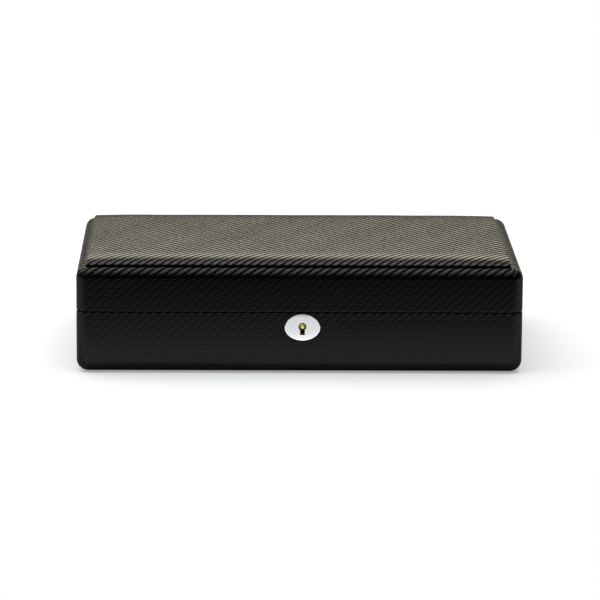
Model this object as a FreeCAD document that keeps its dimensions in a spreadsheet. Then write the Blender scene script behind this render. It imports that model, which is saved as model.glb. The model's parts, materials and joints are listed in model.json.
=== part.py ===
import FreeCAD, Part
import math
import os
import re
import Sketcher

# Watch box: boards covered in leatherette, a padded lid on two butt hinges, a keyed box lock in the
# front wall, and twelve lined compartments with a pillow each.
# Millimetres, +Z up, front towards -Y. The origin is the middle of the face that the box stands on.

DIMENSIONS = (
    ("box_width", 331.5, "outside width of base and lid"),
    ("box_depth", 200.0, "outside depth of base and lid"),
    ("base_height", 46.2, "standing face to the rim of the base"),
    ("seam_gap", 0.6, "gap between base and closed lid"),
    ("lid_height", 32.3, "lower edge of the lid to the ledge round its pad"),
    ("corner_radius", 9.0, "upright corners"),
    ("base_edge_radius", 8.6, "lower edge of the base"),
    ("lid_edge_radius", 7.8, "upper edge of the lid"),
    ("rim_radius", 1.0, "edges along the seam"),
    ("wrap_thickness", 0.8, "leatherette skin"),
    ("wall_thickness", 10.0, "wall boards of the base"),
    ("floor_thickness", 6.0, "floor board"),
    ("lid_panel_thickness", 6.0, "top board of the lid"),
    ("felt_thickness", 0.7, "felt sheet under the base"),
    ("felt_margin", 11.0, "base side to the edge of the felt"),
    ("turn_under", 24.0, "base side to the edge of the skin turned under"),
    ("floor_lining_thickness", 1.5, "lined card on the floor"),
    ("liner_thickness", 2.0, "lined boards inside the base walls"),
    ("lip_height", 4.0, "how far those boards stand above the rim"),
    ("lip_clearance", 0.5, "lip to the inside of the lid walls"),
    ("divider_thickness", 3.0, "compartment dividers"),
    ("divider_height", 33.0, "height of the dividers"),
    ("divider_clearance", 0.2, "play in the halved joints and at the ends of the dividers"),
    ("pillow_gap", 1.2, "pillow to the sides of its compartment"),
    ("pillow_height", 36.0, "height of a pillow"),
    ("pillow_corner", 15.0, "radius along a pillow's rolled edges"),
    ("lid_lining_thickness", 2.5, "lined card under the top board"),
    ("lid_liner_thickness", 1.2, "lining round the inside of the lid walls"),
    ("pad_inset", 8.75, "front or back of the lid to the pad"),
    ("pad_side_inset", 7.8, "left or right of the lid to the pad, if it were centred"),
    ("pad_offset", -1.0, "middle of the lid to the middle of the pad"),
    ("pad_corner", 3.0, "upright corners of the pad"),
    ("pad_rise", 4.85, "ledge to the pad's shoulder"),
    ("pad_crown", 1.15, "swell of the pad above its shoulder"),
    ("pad_bulge", 1.2, "ledge to the widest level of the pad"),
    ("pad_tuck", 0.8, "how far the pad's foot is drawn in"),
    ("pad_roll", 10.0, "side of the pad to its shoulder"),
    ("pad_middle", 34.0, "depth of the pad's flat middle"),
    ("cover_thickness", 0.8, "leatherette over the pad"),
    ("pad_board_thickness", 1.6, "stiff card in the pad"),
    ("pad_board_margin", 3.0, "side of the pad to the stiff card"),
    ("hinge_spacing", 190.0, "between the middles of the two hinges"),
    ("hinge_length", 38.0, "length of a hinge"),
    ("leaf_thickness", 1.0, "hinge leaves"),
    ("leaf_reach", 8.5, "back of the box to the inner edge of a leaf"),
    ("leaf_clearance", 0.2, "leaf to the sides of its recess"),
    ("knuckle_radius", 2.2, "outside of the hinge barrel"),
    ("knuckle_standoff", 0.3, "back of the box to the barrel"),
    ("knuckle_gap", 0.4, "between neighbouring knuckles"),
    ("knuckle_middle", 14.0, "length of the lid leaf's knuckle"),
    ("pin_radius", 1.0, "hinge pins"),
    ("pin_clearance", 0.1, "hinge pin to the lid leaf's knuckle"),
    ("hinge_screw_spacing", 24.0, "between the two screws of a leaf"),
    ("hinge_screw_inset", 4.6, "back of the box to the hinge screws"),
    ("screw_head_radius", 1.7, "countersunk heads"),
    ("screw_head_height", 0.8, "countersunk heads"),
    ("screw_shank_radius", 0.8, "screw shanks"),
    ("screw_length", 6.5, "whole screws"),
    ("lock_offset", 2.0, "middle of the box to the keyhole"),
    ("lock_width", 32.0, "lock case along the wall"),
    ("lock_depth", 7.0, "lock case through the wall, with its cap"),
    ("lock_height", 22.0, "lock case below its rim plate"),
    ("lock_sheet", 1.0, "sheet of the case and cap"),
    ("mortise_clearance", 0.2, "lock case to its mortise"),
    ("rim_plate_length", 44.0, "lock plate let into the rim"),
    ("rim_plate_thickness", 1.2, "lock plate let into the rim"),
    ("rim_plate_lap", 1.2, "rim plate in front of the case"),
    ("lock_screw_inset", 2.7, "middle of a screw from the end of the rim plate or keeper"),
    ("keyhole_drop", 10.1, "rim to the middle of the keyhole's round"),
    ("keyhole_radius", 2.8, "round of the keyhole"),
    ("keyhole_slot", 3.4, "width of the keyhole's slot"),
    ("keyhole_length", 6.3, "middle of the round to the foot of the slot"),
    ("drill_pin_radius", 1.8, "post that the barrel of the key fits on"),
    ("drill_pin_setback", 0.4, "skin of the box to the tip of the post"),
    ("escutcheon_drop", 10.6, "rim to the middle of the keyhole plate"),
    ("escutcheon_width", 26.4, "keyhole plate"),
    ("escutcheon_height", 19.9, "keyhole plate"),
    ("escutcheon_thickness", 1.4, "keyhole plate"),
    ("escutcheon_bevel", 0.9, "rounded edge of the keyhole plate"),
    ("bolt_length", 16.5, "bolt from tail to tip"),
    ("bolt_tail", 12.0, "middle of the lock to the tail of the drawn bolt"),
    ("bolt_height", 5.0, "bolt, upright"),
    ("bolt_tongue_length", 5.0, "thin end of the bolt"),
    ("bolt_tongue_thickness", 2.0, "thin end of the bolt"),
    ("bolt_clearance", 0.3, "bolt to what guides it"),
    ("guide_thickness", 1.5, "ledges under the bolt"),
    ("guide_length", 6.0, "ledges under the bolt"),
    ("staple_offset", 6.0, "middle of the lock to the middle of the staple"),
    ("staple_thickness", 2.0, "staple along the wall"),
    ("staple_width", 4.2, "staple through the wall"),
    ("staple_web", 1.4, "below the eye of the staple"),
    ("staple_clearance", 0.4, "bolt to the eye, and staple to the rim plate"),
    ("keeper_length", 44.0, "keeper plate along the wall"),
    ("keeper_depth", 5.6, "keeper plate through the wall"),
    ("keeper_thickness", 1.2, "keeper plate"),
    ("spring_thickness", 0.4, "leaf spring over the bolt"),
    ("spring_width", 3.0, "leaf spring over the bolt"),
    ("spring_length", 18.0, "leaf spring over the bolt"),
    ("spring_clearance", 0.1, "leaf spring to the bolt"),
)

CROSS_DIVIDERS = 5
ROWS = 2

doc = FreeCAD.newDocument("watch_box")
dims = doc.addObject("Spreadsheet::Sheet", "dims")
for row, (alias, value, note) in enumerate(DIMENSIONS, start=1):
    dims.set(f"A{row}", alias)
    dims.set(f"B{row}", str(value))
    dims.set(f"C{row}", note)
    dims.setAlias(f"B{row}", alias)
doc.recompute()

ALIASES = {alias for alias, value, note in DIMENSIONS}
parts = {}


def size(name):
    """The number in a cell of the sheet."""
    return float(dims.get(name))


def expression(text):
    """A formula in the sheet's aliases, as the document's expressions take it."""
    return re.sub(r"[a-z_]+", lambda word: "dims." + word[0] if word[0] in ALIASES else word[0], text)


def bind(thing, **formulas):
    """Bind properties of a document object to formulas."""
    for name, formula in formulas.items():
        thing.setExpression(name, expression(formula))


def place(thing, x, y, z):
    """Bind the position of a document object to formulas."""
    for axis, formula in zip("xyz", (x, y, z)):
        thing.setExpression(".Placement.Base." + axis, expression(formula))
    return thing


def part(label, thing):
    """Name a sub-part."""
    thing.Label = label
    parts[label] = thing
    return thing


def slab(name, width, depth, height, x, y, bottom):
    """A block, centred on x and y, standing on bottom."""
    block = doc.addObject("Part::Box", name)
    bind(block, Length=width, Width=depth, Height=height)
    return place(block, f"{x} - ({width}) / 2", f"{y} - ({depth}) / 2", bottom)


def rod(name, radius, length, x, y, z, axis=None):
    """A cylinder that starts at a point and runs up, or along the axis given."""
    cylinder = doc.addObject("Part::Cylinder", name)
    if axis:
        turn = FreeCAD.Rotation(FreeCAD.Vector(0, 0, 1), axis)
        cylinder.Placement = FreeCAD.Placement(FreeCAD.Vector(), turn)
    bind(cylinder, Radius=radius, Height=length)
    return place(cylinder, x, y, z)


def boolean(kind, name, base, tools):
    """Apply the tools to the base one after another."""
    for number, tool in enumerate(tools, start=1):
        result = doc.addObject("Part::" + kind, f"{name}_{kind.lower()}_{number}")
        result.Base = base
        result.Tool = tool
        base = result
    return base


def cut(name, base, *tools):
    """The base without the tools."""
    return boolean("Cut", name, base, tools)


def fuse(name, base, *tools):
    """The base and the tools in one."""
    return boolean("Fuse", name, base, tools)


def common(name, base, *tools):
    """What the base shares with the tools."""
    return boolean("Common", name, base, tools)


def rectangle(body, width, depth, bottom):
    """A sketched rectangle about the body's Z axis, at the level of bottom."""
    sketch = body.newObject("Sketcher::SketchObject", body.Name + "_outline")
    plane = next(feature for feature in body.Origin.OriginFeatures if feature.Role == "XY_Plane")
    sketch.AttachmentSupport = (plane, [""])
    sketch.MapMode = "FlatFace"
    sketch.setExpression(".AttachmentOffset.Base.z", expression(bottom))
    corners = [FreeCAD.Vector(x, y) for x, y in ((-10, -5), (10, -5), (10, 5), (-10, 5))]
    for start in range(4):
        sketch.addGeometry(Part.LineSegment(corners[start], corners[(start + 1) % 4]), False)
    for line in range(4):
        sketch.addConstraint(Sketcher.Constraint("Coincident", line, 2, (line + 1) % 4, 1))
    for line, direction in enumerate(("Horizontal", "Vertical", "Horizontal", "Vertical")):
        sketch.addConstraint(Sketcher.Constraint(direction, line))
    sketch.addConstraint(Sketcher.Constraint("Symmetric", 0, 1, 2, 1, -1, 1))
    for name, kind, line, formula in (("width", "DistanceX", 0, width), ("depth", "DistanceY", 1, depth)):
        number = sketch.addConstraint(Sketcher.Constraint(kind, line, 1, line, 2, 10.0))
        sketch.renameConstraint(number, name)
        sketch.setExpression("Constraints." + name, expression(formula))
    return sketch


def pad(body, width, depth, bottom, height):
    """Add a sketched and padded block to a body."""
    feature = body.newObject("PartDesign::Pad", body.Name + "_pad")
    feature.Profile = rectangle(body, width, depth, bottom)
    bind(feature, Length=height)
    doc.recompute()
    return feature


def fillet(body, radius, where):
    """Round the upright, lower or upper edges of a body's last feature."""
    base = body.Tip
    box = base.Shape.BoundBox
    near = 0.01
    chosen = {
        "upright": lambda span: span.ZLength > box.ZLength / 2,
        "lower": lambda span: span.ZMax < box.ZMin + near,
        "upper": lambda span: span.ZMin > box.ZMax - near,
    }[where]
    edges = [f"Edge{n}" for n, edge in enumerate(base.Shape.Edges, start=1) if chosen(edge.BoundBox)]
    feature = body.newObject("PartDesign::Fillet", body.Name + "_fillet")
    feature.Base = (base, edges)
    bind(feature, Radius=radius)
    doc.recompute()


def rounded_block(name, width, depth, bottom, height, corner, lower=None, upper=None):
    """A block about the Z axis with rounded upright corners and, where given, rounded edges."""
    body = doc.addObject("PartDesign::Body", name)
    pad(body, width, depth, bottom, height)
    fillet(body, corner, "upright")
    if lower:
        fillet(body, lower, "lower")
    if upper:
        fillet(body, upper, "upper")
    return body


def screw(name, x, y, seat, points):
    """A countersunk screw whose head is flush with seat and which points up (1) or down (-1)."""
    head = doc.addObject("Part::Cone", name + "_head")
    small, large = ("Radius1", "Radius2") if points < 0 else ("Radius2", "Radius1")
    bind(head, Height="screw_head_height", **{small: "screw_shank_radius", large: "screw_head_radius"})
    if points < 0:
        head_bottom = f"{seat} - screw_head_height"
        shank_bottom = f"{seat} - screw_length"
    else:
        head_bottom = seat
        shank_bottom = f"{seat} + screw_head_height"
    place(head, x, y, head_bottom)
    shank_length = "screw_length - screw_head_height"
    shank = rod(name + "_shank", "screw_shank_radius", shank_length, x, y, shank_bottom)
    return fuse(name, head, shank)


def group(label, things):
    """One sub-part of several equal solids."""
    compound = doc.addObject("Part::Compound", label)
    compound.Links = things
    return part(label, compound)


# Levels and faces that several pieces share
SKIN = "felt_thickness"
CORE = "(felt_thickness + wrap_thickness)"
FLOOR = "(felt_thickness + wrap_thickness + floor_thickness)"
LINED_FLOOR = "(felt_thickness + wrap_thickness + floor_thickness + floor_lining_thickness)"
RIM = "base_height"
LID = "(base_height + seam_gap)"
LEDGE = "(base_height + seam_gap + lid_height)"
SIDE = "(wrap_thickness + wall_thickness)"
LID_SIDE = "(wrap_thickness + wall_thickness - lip_clearance)"
INNER_WIDTH = "(box_width - 2 * wrap_thickness - 2 * wall_thickness)"
INNER_DEPTH = "(box_depth - 2 * wrap_thickness - 2 * wall_thickness)"
LID_INNER_WIDTH = f"({INNER_WIDTH} + 2 * lip_clearance)"
LID_INNER_DEPTH = f"({INNER_DEPTH} + 2 * lip_clearance)"
FRONT = "(-box_depth / 2)"
BACK = "(box_depth / 2)"
FRONT_WALL_FACE = f"({FRONT} + wrap_thickness + wall_thickness)"

# Outside of the base and the board work under its skin
base_outer = rounded_block(
    "base_outer", "box_width", "box_depth", SKIN, f"{RIM} - {SKIN}",
    "corner_radius", lower="base_edge_radius", upper="rim_radius",
)
base_core = rounded_block(
    "base_core", "box_width - 2 * wrap_thickness", "box_depth - 2 * wrap_thickness",
    CORE, f"{RIM} - wrap_thickness - {CORE}",
    "corner_radius - wrap_thickness", lower="base_edge_radius - wrap_thickness",
)
lid_outer = rounded_block(
    "lid_outer", "box_width", "box_depth", LID, "lid_height",
    "corner_radius", lower="rim_radius", upper="lid_edge_radius",
)
lid_core = rounded_block(
    "lid_core", "box_width - 2 * wrap_thickness", "box_depth - 2 * wrap_thickness",
    f"{LID} + wrap_thickness", "lid_height - 2 * wrap_thickness",
    "corner_radius - wrap_thickness", upper="lid_edge_radius - wrap_thickness",
)

# Hinges, one at each side of the back
HINGE_AXIS_Y = f"({BACK} + knuckle_standoff + knuckle_radius)"
HINGE_AXIS_Z = "(base_height + seam_gap / 2)"
OUTER_KNUCKLE = "((hinge_length - knuckle_middle) / 2 - knuckle_gap)"
LEAF_INNER = f"({BACK} - leaf_reach)"
ALONG_X = FreeCAD.Vector(1, 0, 0)


def knuckle(name, start, length, bore):
    """A piece of the hinge barrel from start along X, bored for the pin."""
    outside = rod(name, "knuckle_radius", length, start, HINGE_AXIS_Y, HINGE_AXIS_Z, ALONG_X)
    inside = rod(name + "_bore", bore, length, start, HINGE_AXIS_Y, HINGE_AXIS_Z, ALONG_X)
    return cut(name, outside, inside)


def leaf_strap(name, start, length, bottom):
    """The part of a leaf that runs out from the box into its knuckle, clear of the pin's bore."""
    strap = doc.addObject("Part::Box", name)
    bind(strap, Length=length, Width="knuckle_standoff + knuckle_radius", Height="leaf_thickness")
    place(strap, start, BACK, bottom)
    bore_radius = "pin_radius + pin_clearance"
    bore = rod(name + "_bore", bore_radius, length, start, HINGE_AXIS_Y, HINGE_AXIS_Z, ALONG_X)
    return cut(name, strap, bore)


def hinge(side, middle):
    """One butt hinge: two leaves and a pin, with the screws of both leaves."""
    start = f"({middle} - hinge_length / 2)"
    inner_start = f"({middle} - knuckle_middle / 2)"
    far_start = f"({middle} + knuckle_middle / 2 + knuckle_gap)"
    plate_y = f"({BACK} - leaf_reach / 2)"
    base_bottom = f"({RIM} - leaf_thickness)"
    base_leaf = slab(
        f"{side}_base_plate", "hinge_length", "leaf_reach", "leaf_thickness", middle, plate_y, base_bottom,
    )
    for number, knuckle_start in enumerate((start, far_start), start=1):
        name = f"{side}_base_{number}"
        strap = leaf_strap(name + "_strap", knuckle_start, OUTER_KNUCKLE, base_bottom)
        barrel = knuckle(name + "_knuckle", knuckle_start, OUTER_KNUCKLE, "pin_radius")
        base_leaf = fuse(name, base_leaf, strap, barrel)
    lid_plate = slab(
        f"{side}_lid_plate", "hinge_length", "leaf_reach", "leaf_thickness", middle, plate_y, LID,
    )
    strap = leaf_strap(f"{side}_lid_strap", inner_start, "knuckle_middle", LID)
    barrel = knuckle(f"{side}_lid_knuckle", inner_start, "knuckle_middle", "pin_radius + pin_clearance")
    lid_leaf = fuse(f"{side}_lid", lid_plate, strap, barrel)
    screw_y = f"({BACK} - hinge_screw_inset)"
    screw_places = [f"({middle} {sign} hinge_screw_spacing / 2)" for sign in "-+"]
    base_screws = [screw(f"{side}_base_screw_{n}", x, screw_y, RIM, -1) for n, x in enumerate(screw_places)]
    lid_screws = [screw(f"{side}_lid_screw_{n}", x, screw_y, LID, 1) for n, x in enumerate(screw_places)]
    part(f"hinge_{side}_base_leaf", cut(f"{side}_base_leaf", base_leaf, *base_screws))
    part(f"hinge_{side}_lid_leaf", cut(f"{side}_lid_leaf", lid_leaf, *lid_screws))
    pin = rod(f"{side}_pin", "pin_radius", "hinge_length", start, HINGE_AXIS_Y, HINGE_AXIS_Z, ALONG_X)
    part(f"hinge_{side}_pin", pin)
    recess_width = "(hinge_length + 2 * leaf_clearance)"
    recess_depth = "(leaf_reach + leaf_clearance)"
    recess_y = f"({BACK} - {recess_depth} / 2)"
    recesses = [
        slab(f"{side}_{name}_seat", recess_width, recess_depth, "leaf_thickness", middle, recess_y, bottom)
        for name, bottom in (("base", base_bottom), ("lid", LID))
    ]
    return base_screws, lid_screws, recesses


left_base_screws, left_lid_screws, left_recesses = hinge("left", "(-hinge_spacing / 2)")
right_base_screws, right_lid_screws, right_recesses = hinge("right", "(hinge_spacing / 2)")
hinge_base_screws = left_base_screws + right_base_screws
hinge_lid_screws = left_lid_screws + right_lid_screws
base_leaf_recesses = [left_recesses[0], right_recesses[0]]
lid_leaf_recesses = [left_recesses[1], right_recesses[1]]
group("hinge_base_screws", hinge_base_screws)
group("hinge_lid_screws", hinge_lid_screws)

# Box lock, let into the front wall from behind and above
LOCK = "lock_offset"
LOCK_Y = f"({FRONT_WALL_FACE} - lock_depth / 2)"
CASE_FRONT = f"({FRONT_WALL_FACE} - lock_depth)"
CASE_TOP = f"({RIM} - rim_plate_thickness)"
CASE_BOTTOM = f"({RIM} - rim_plate_thickness - lock_height)"
KEYHOLE_Z = f"({RIM} - keyhole_drop)"
BOLT_BOTTOM = f"({KEYHOLE_Z} + drill_pin_radius + bolt_clearance)"
BOLT_TOP = f"({BOLT_BOTTOM} + bolt_height)"
INTO_BOX = FreeCAD.Vector(0, 1, 0)

keyhole_reach = f"({CASE_FRONT} + lock_sheet - {FRONT} + escutcheon_thickness)"
keyhole_start = f"({FRONT} - escutcheon_thickness)"
keyhole_round = rod(
    "keyhole_round", "keyhole_radius", keyhole_reach, LOCK, keyhole_start, KEYHOLE_Z, INTO_BOX,
)
keyhole_slot = slab(
    "keyhole_foot", "keyhole_slot", keyhole_reach, "keyhole_length",
    LOCK, f"{keyhole_start} + {keyhole_reach} / 2", f"{KEYHOLE_Z} - keyhole_length",
)
keyhole = fuse("keyhole", keyhole_round, keyhole_slot)

staple_slot = slab(
    "staple_slot", "staple_thickness + 2 * staple_clearance", "staple_width + 2 * staple_clearance",
    "rim_plate_thickness", f"{LOCK} + staple_offset", LOCK_Y, CASE_TOP,
)
rim_plate_depth = "(lock_depth + rim_plate_lap)"
rim_plate_y = f"({FRONT_WALL_FACE} - {rim_plate_depth} / 2)"
rim_plate = slab(
    "rim_plate", "rim_plate_length", rim_plate_depth, "rim_plate_thickness", LOCK, rim_plate_y, CASE_TOP,
)
case_depth = "(lock_depth - lock_sheet)"
case_y = f"({CASE_FRONT} + {case_depth} / 2)"
case_block = slab("case_block", "lock_width", case_depth, "lock_height", LOCK, case_y, CASE_BOTTOM)
case_hollow = slab(
    "case_hollow", "lock_width - 2 * lock_sheet", case_depth, "lock_height - lock_sheet",
    LOCK, f"{case_y} + lock_sheet", f"{CASE_BOTTOM} + lock_sheet",
)
case_shell = cut("case_shell", case_block, case_hollow)
guides = [
    slab(
        f"bolt_guide_{number}", "guide_length", "lock_depth - 2 * lock_sheet", "guide_thickness",
        f"{LOCK} {sign} (lock_width / 2 - lock_sheet - guide_length / 2)", LOCK_Y,
        f"{BOLT_BOTTOM} - bolt_clearance - guide_thickness",
    )
    for number, sign in enumerate("-+", start=1)
]


def plate_screws(name, length, face, way):
    """The two screws of a plate of this length, that go into the wall from its face."""
    places = [f"({LOCK} {sign} ({length} / 2 - lock_screw_inset))" for sign in "-+"]
    return [screw(f"{name}_{number}", x, LOCK_Y, face, way) for number, x in enumerate(places)]


lock_screws = plate_screws("lock_screw", "rim_plate_length", RIM, -1)
keeper_screws = plate_screws("keeper_screw", "keeper_length", LID, 1)
lock_case = fuse("lock_case", case_shell, *guides, rim_plate)
part("lock_case", cut("lock_case", lock_case, staple_slot, keyhole, *lock_screws))
group("lock_screws", lock_screws)
group("keeper_screws", keeper_screws)

lock_cap = slab(
    "lock_cap", "lock_width", "lock_sheet", "lock_height",
    LOCK, f"{FRONT_WALL_FACE} - lock_sheet / 2", CASE_BOTTOM,
)
part("lock_cap", lock_cap)
drill_pin_length = f"({FRONT_WALL_FACE} - lock_sheet - {FRONT} - drill_pin_setback)"
drill_pin = rod(
    "drill_pin", "drill_pin_radius", drill_pin_length,
    LOCK, f"{FRONT} + drill_pin_setback", KEYHOLE_Z, INTO_BOX,
)
part("lock_drill_pin", drill_pin)

bolt_body_length = "(bolt_length - bolt_tongue_length)"
bolt_body = slab(
    "bolt_body", bolt_body_length, "lock_depth - 2 * lock_sheet - 2 * bolt_clearance", "bolt_height",
    f"{LOCK} - bolt_tail + {bolt_body_length} / 2", LOCK_Y, BOLT_BOTTOM,
)
bolt_tongue = slab(
    "bolt_tongue", "bolt_tongue_length", "bolt_tongue_thickness", "bolt_height",
    f"{LOCK} - bolt_tail + bolt_length - bolt_tongue_length / 2", LOCK_Y, BOLT_BOTTOM,
)
part("lock_bolt", fuse("lock_bolt", bolt_body, bolt_tongue))

# Leaf spring: its foot stands on a ledge at the end of the case, its arm lies over the bolt
spring_start = f"({LOCK} - lock_width / 2 + lock_sheet)"
spring_bottom = f"({BOLT_TOP} + spring_clearance)"
spring_arm = slab(
    "spring_arm", "spring_length", "spring_width", "spring_thickness",
    f"{spring_start} + spring_length / 2", LOCK_Y, spring_bottom,
)
guide_top = f"({BOLT_BOTTOM} - bolt_clearance)"
spring_foot = slab(
    "spring_foot", "spring_thickness", "spring_width", f"{spring_bottom} + spring_thickness - {guide_top}",
    f"{spring_start} + spring_thickness / 2", LOCK_Y, guide_top,
)
part("lock_spring", fuse("lock_spring", spring_arm, spring_foot))

# Keeper: plate let into the lid, with the staple that the bolt passes through
keeper_plate = slab("keeper_plate", "keeper_length", "keeper_depth", "keeper_thickness", LOCK, LOCK_Y, LID)
staple_bottom = f"({BOLT_BOTTOM} - staple_clearance - staple_web)"
staple = slab(
    "staple", "staple_thickness", "staple_width", f"{LID} - {staple_bottom}",
    f"{LOCK} + staple_offset", LOCK_Y, staple_bottom,
)
staple_eye = slab(
    "staple_eye", "staple_thickness", "bolt_tongue_thickness + 2 * staple_clearance",
    "bolt_height + 2 * staple_clearance",
    f"{LOCK} + staple_offset", LOCK_Y, f"{BOLT_BOTTOM} - staple_clearance",
)
keeper = fuse("keeper", keeper_plate, cut("staple", staple, staple_eye))
part("keeper", cut("keeper_plate", keeper, *keeper_screws))

# Oval keyhole plate with a rounded edge, on the skin of the front
PLATE_ROUND_SHARE = 0.3
upright_turn = FreeCAD.Rotation(FreeCAD.Vector(1, 0, 0), 90)


def plate_outline(name, inset, stand):
    """An oval on the front of the box, drawn in by inset and standing proud by stand."""
    oval = doc.addObject("Part::Ellipse", name)
    oval.Placement = FreeCAD.Placement(FreeCAD.Vector(), upright_turn)
    bind(oval, MajorRadius=f"escutcheon_width / 2 - {inset}")
    bind(oval, MinorRadius=f"escutcheon_height / 2 - {inset}")
    return place(oval, LOCK, f"{FRONT} - ({stand})", f"{RIM} - escutcheon_drop")


plate_round = f"{PLATE_ROUND_SHARE} * escutcheon_bevel"
plate = doc.addObject("Part::Loft", "plate")
plate.Sections = [
    plate_outline("plate_back", "0", "0"),
    plate_outline("plate_edge", "0", "escutcheon_thickness - escutcheon_bevel"),
    plate_outline("plate_round", plate_round, f"escutcheon_thickness - {plate_round}"),
    plate_outline("plate_face", "escutcheon_bevel", "escutcheon_thickness"),
]
plate.Solid = True
plate.Ruled = True
part("escutcheon", cut("escutcheon", plate, keyhole))

# Boards of the base
mortise = slab(
    "mortise", "lock_width + 2 * mortise_clearance", "lock_depth + mortise_clearance",
    "lock_height + mortise_clearance",
    LOCK, f"{LOCK_Y} - mortise_clearance / 2", f"{CASE_BOTTOM} - mortise_clearance",
)
rim_plate_recess = slab(
    "rim_plate_recess", "rim_plate_length", rim_plate_depth, "rim_plate_thickness",
    LOCK, rim_plate_y, CASE_TOP,
)
keeper_recess = slab(
    "keeper_recess", "keeper_length", "keeper_depth", "keeper_thickness", LOCK, LOCK_Y, LID,
)


def wall_regions(prefix, side, inner_depth, bottom, height):
    """The blocks that part a hollow box into butt-jointed walls: front and back run through."""
    end_x = f"(box_width / 2 - {side} / 2)"
    end_y = f"(box_depth / 2 - {side} / 2)"
    return {
        "front": slab(prefix + "_front", "box_width", side, height, "0", f"-{end_y}", bottom),
        "back": slab(prefix + "_back", "box_width", side, height, "0", end_y, bottom),
        "left": slab(prefix + "_left", side, inner_depth, height, f"-{end_x}", "0", bottom),
        "right": slab(prefix + "_right", side, inner_depth, height, end_x, "0", bottom),
    }


base_tools = {
    "front": [mortise, rim_plate_recess, keyhole, *lock_screws],
    "back": [*base_leaf_recesses, *hinge_base_screws],
}
for side, region in wall_regions("base_region", SIDE, INNER_DEPTH, "0", RIM).items():
    wall = common(f"base_{side}", base_core, region)
    part(f"base_{side}_wall", cut(f"base_{side}_wall", wall, *base_tools.get(side, [])))
floor_region = slab("floor_region", INNER_WIDTH, INNER_DEPTH, "floor_thickness", "0", "0", CORE)
part("base_floor", common("base_floor", base_core, floor_region))

# Skin of the base: open inside the rim, and underneath where only the felt covers the floor
base_mouth = slab("base_mouth", INNER_WIDTH, INNER_DEPTH, RIM, "0", "0", CORE)
under_width = "(box_width - 2 * turn_under)"
under_depth = "(box_depth - 2 * turn_under)"
underside = slab("underside", under_width, under_depth, CORE, "0", "0", "0")
base_skin = cut("base_skin", base_outer, base_core, base_mouth, underside)
part("base_wrap", cut("base_wrap", base_skin, keyhole, rim_plate_recess, *base_leaf_recesses))
felt_sheet = slab(
    "felt_sheet", "box_width - 2 * felt_margin", "box_depth - 2 * felt_margin", "felt_thickness",
    "0", "0", "0",
)
felt_middle = slab("felt_middle", under_width, under_depth, CORE, "0", "0", "0")
part("bottom_felt", fuse("bottom_felt", felt_sheet, felt_middle))

# Linings of the base, which stand above the rim to locate the lid
floor_lining = slab("floor_lining", INNER_WIDTH, INNER_DEPTH, "floor_lining_thickness", "0", "0", FLOOR)
part("floor_lining", floor_lining)
liner_height = f"({RIM} + lip_height - {LINED_FLOOR})"
lined_depth = f"({INNER_DEPTH} - 2 * liner_thickness)"
lined_width = f"({INNER_WIDTH} - 2 * liner_thickness)"
liner_y = f"({INNER_DEPTH} / 2 - liner_thickness / 2)"
liner_x = f"({INNER_WIDTH} / 2 - liner_thickness / 2)"
for label, x, y in (("liner_front", "0", f"-{liner_y}"), ("liner_back", "0", liner_y)):
    part(label, slab(label, INNER_WIDTH, "liner_thickness", liner_height, x, y, LINED_FLOOR))
for label, x, y in (("liner_left", f"-{liner_x}", "0"), ("liner_right", liner_x, "0")):
    part(label, slab(label, "liner_thickness", lined_depth, liner_height, x, y, LINED_FLOOR))

# Dividers, halved together: the long one is slotted from above, the cross ones from below
COLUMNS = CROSS_DIVIDERS + 1
cell_width = f"(({lined_width} - {CROSS_DIVIDERS} * divider_thickness) / {COLUMNS})"
cell_depth = f"(({lined_depth} - divider_thickness) / {ROWS})"
slot_width = "(divider_thickness + 2 * divider_clearance)"
crossings = [
    f"({number - CROSS_DIVIDERS / 2 - 0.5} * ({cell_width} + divider_thickness))"
    for number in range(1, CROSS_DIVIDERS + 1)
]
long_board = slab(
    "long_board", f"{lined_width} - 2 * divider_clearance", "divider_thickness", "divider_height",
    "0", "0", LINED_FLOOR,
)
half_height = "(divider_height / 2)"
half_way = f"{LINED_FLOOR} + {half_height}"
long_slots = [
    slab(f"long_slot_{n}", slot_width, "divider_thickness", half_height, x, "0", half_way)
    for n, x in enumerate(crossings, start=1)
]
part("long_divider", cut("long_divider", long_board, *long_slots))
for number, x in enumerate(crossings, start=1):
    label = f"cross_divider_{number}"
    board = slab(
        f"cross_board_{number}", "divider_thickness", f"{lined_depth} - 2 * divider_clearance",
        "divider_height", x, "0", LINED_FLOOR,
    )
    slot = slab(f"cross_slot_{number}", "divider_thickness", slot_width, half_height, x, "0", LINED_FLOOR)
    part(label, cut(label, board, slot))


def rounded_wire(width, depth, radius, placement):
    """A rectangle with rounded corners about the origin, moved by a placement."""
    across = width / 2 - radius
    along = depth / 2 - radius
    corners = ((across, -along, 270), (across, along, 0), (-across, along, 90), (-across, -along, 180))

    def point(corner, turn):
        angle = math.radians(corner[2] + turn)
        return FreeCAD.Vector(corner[0] + radius * math.cos(angle), corner[1] + radius * math.sin(angle))

    edges = []
    for number, corner in enumerate(corners):
        following = corners[(number + 1) % len(corners)]
        edges.append(Part.Arc(point(corner, 0), point(corner, 45), point(corner, 90)).toShape())
        edges.append(Part.LineSegment(point(corner, 90), point(following, 0)).toShape())
    wire = Part.Wire(edges)
    wire.Placement = placement
    return wire


# Pillows: rolled over front and back, drawn in towards the seams at their two ends
PILLOW_STATIONS = (-1.0, -0.92, -0.75, -0.4, 0.4, 0.75, 0.92, 1.0)
PILLOW_FULL = 0.4
PILLOW_END_SHARE = 0.76
PILLOW_ROLL_LIMIT = 0.48
ACROSS_X = FreeCAD.Rotation(FreeCAD.Vector(1, 1, 1), 120)


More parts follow.
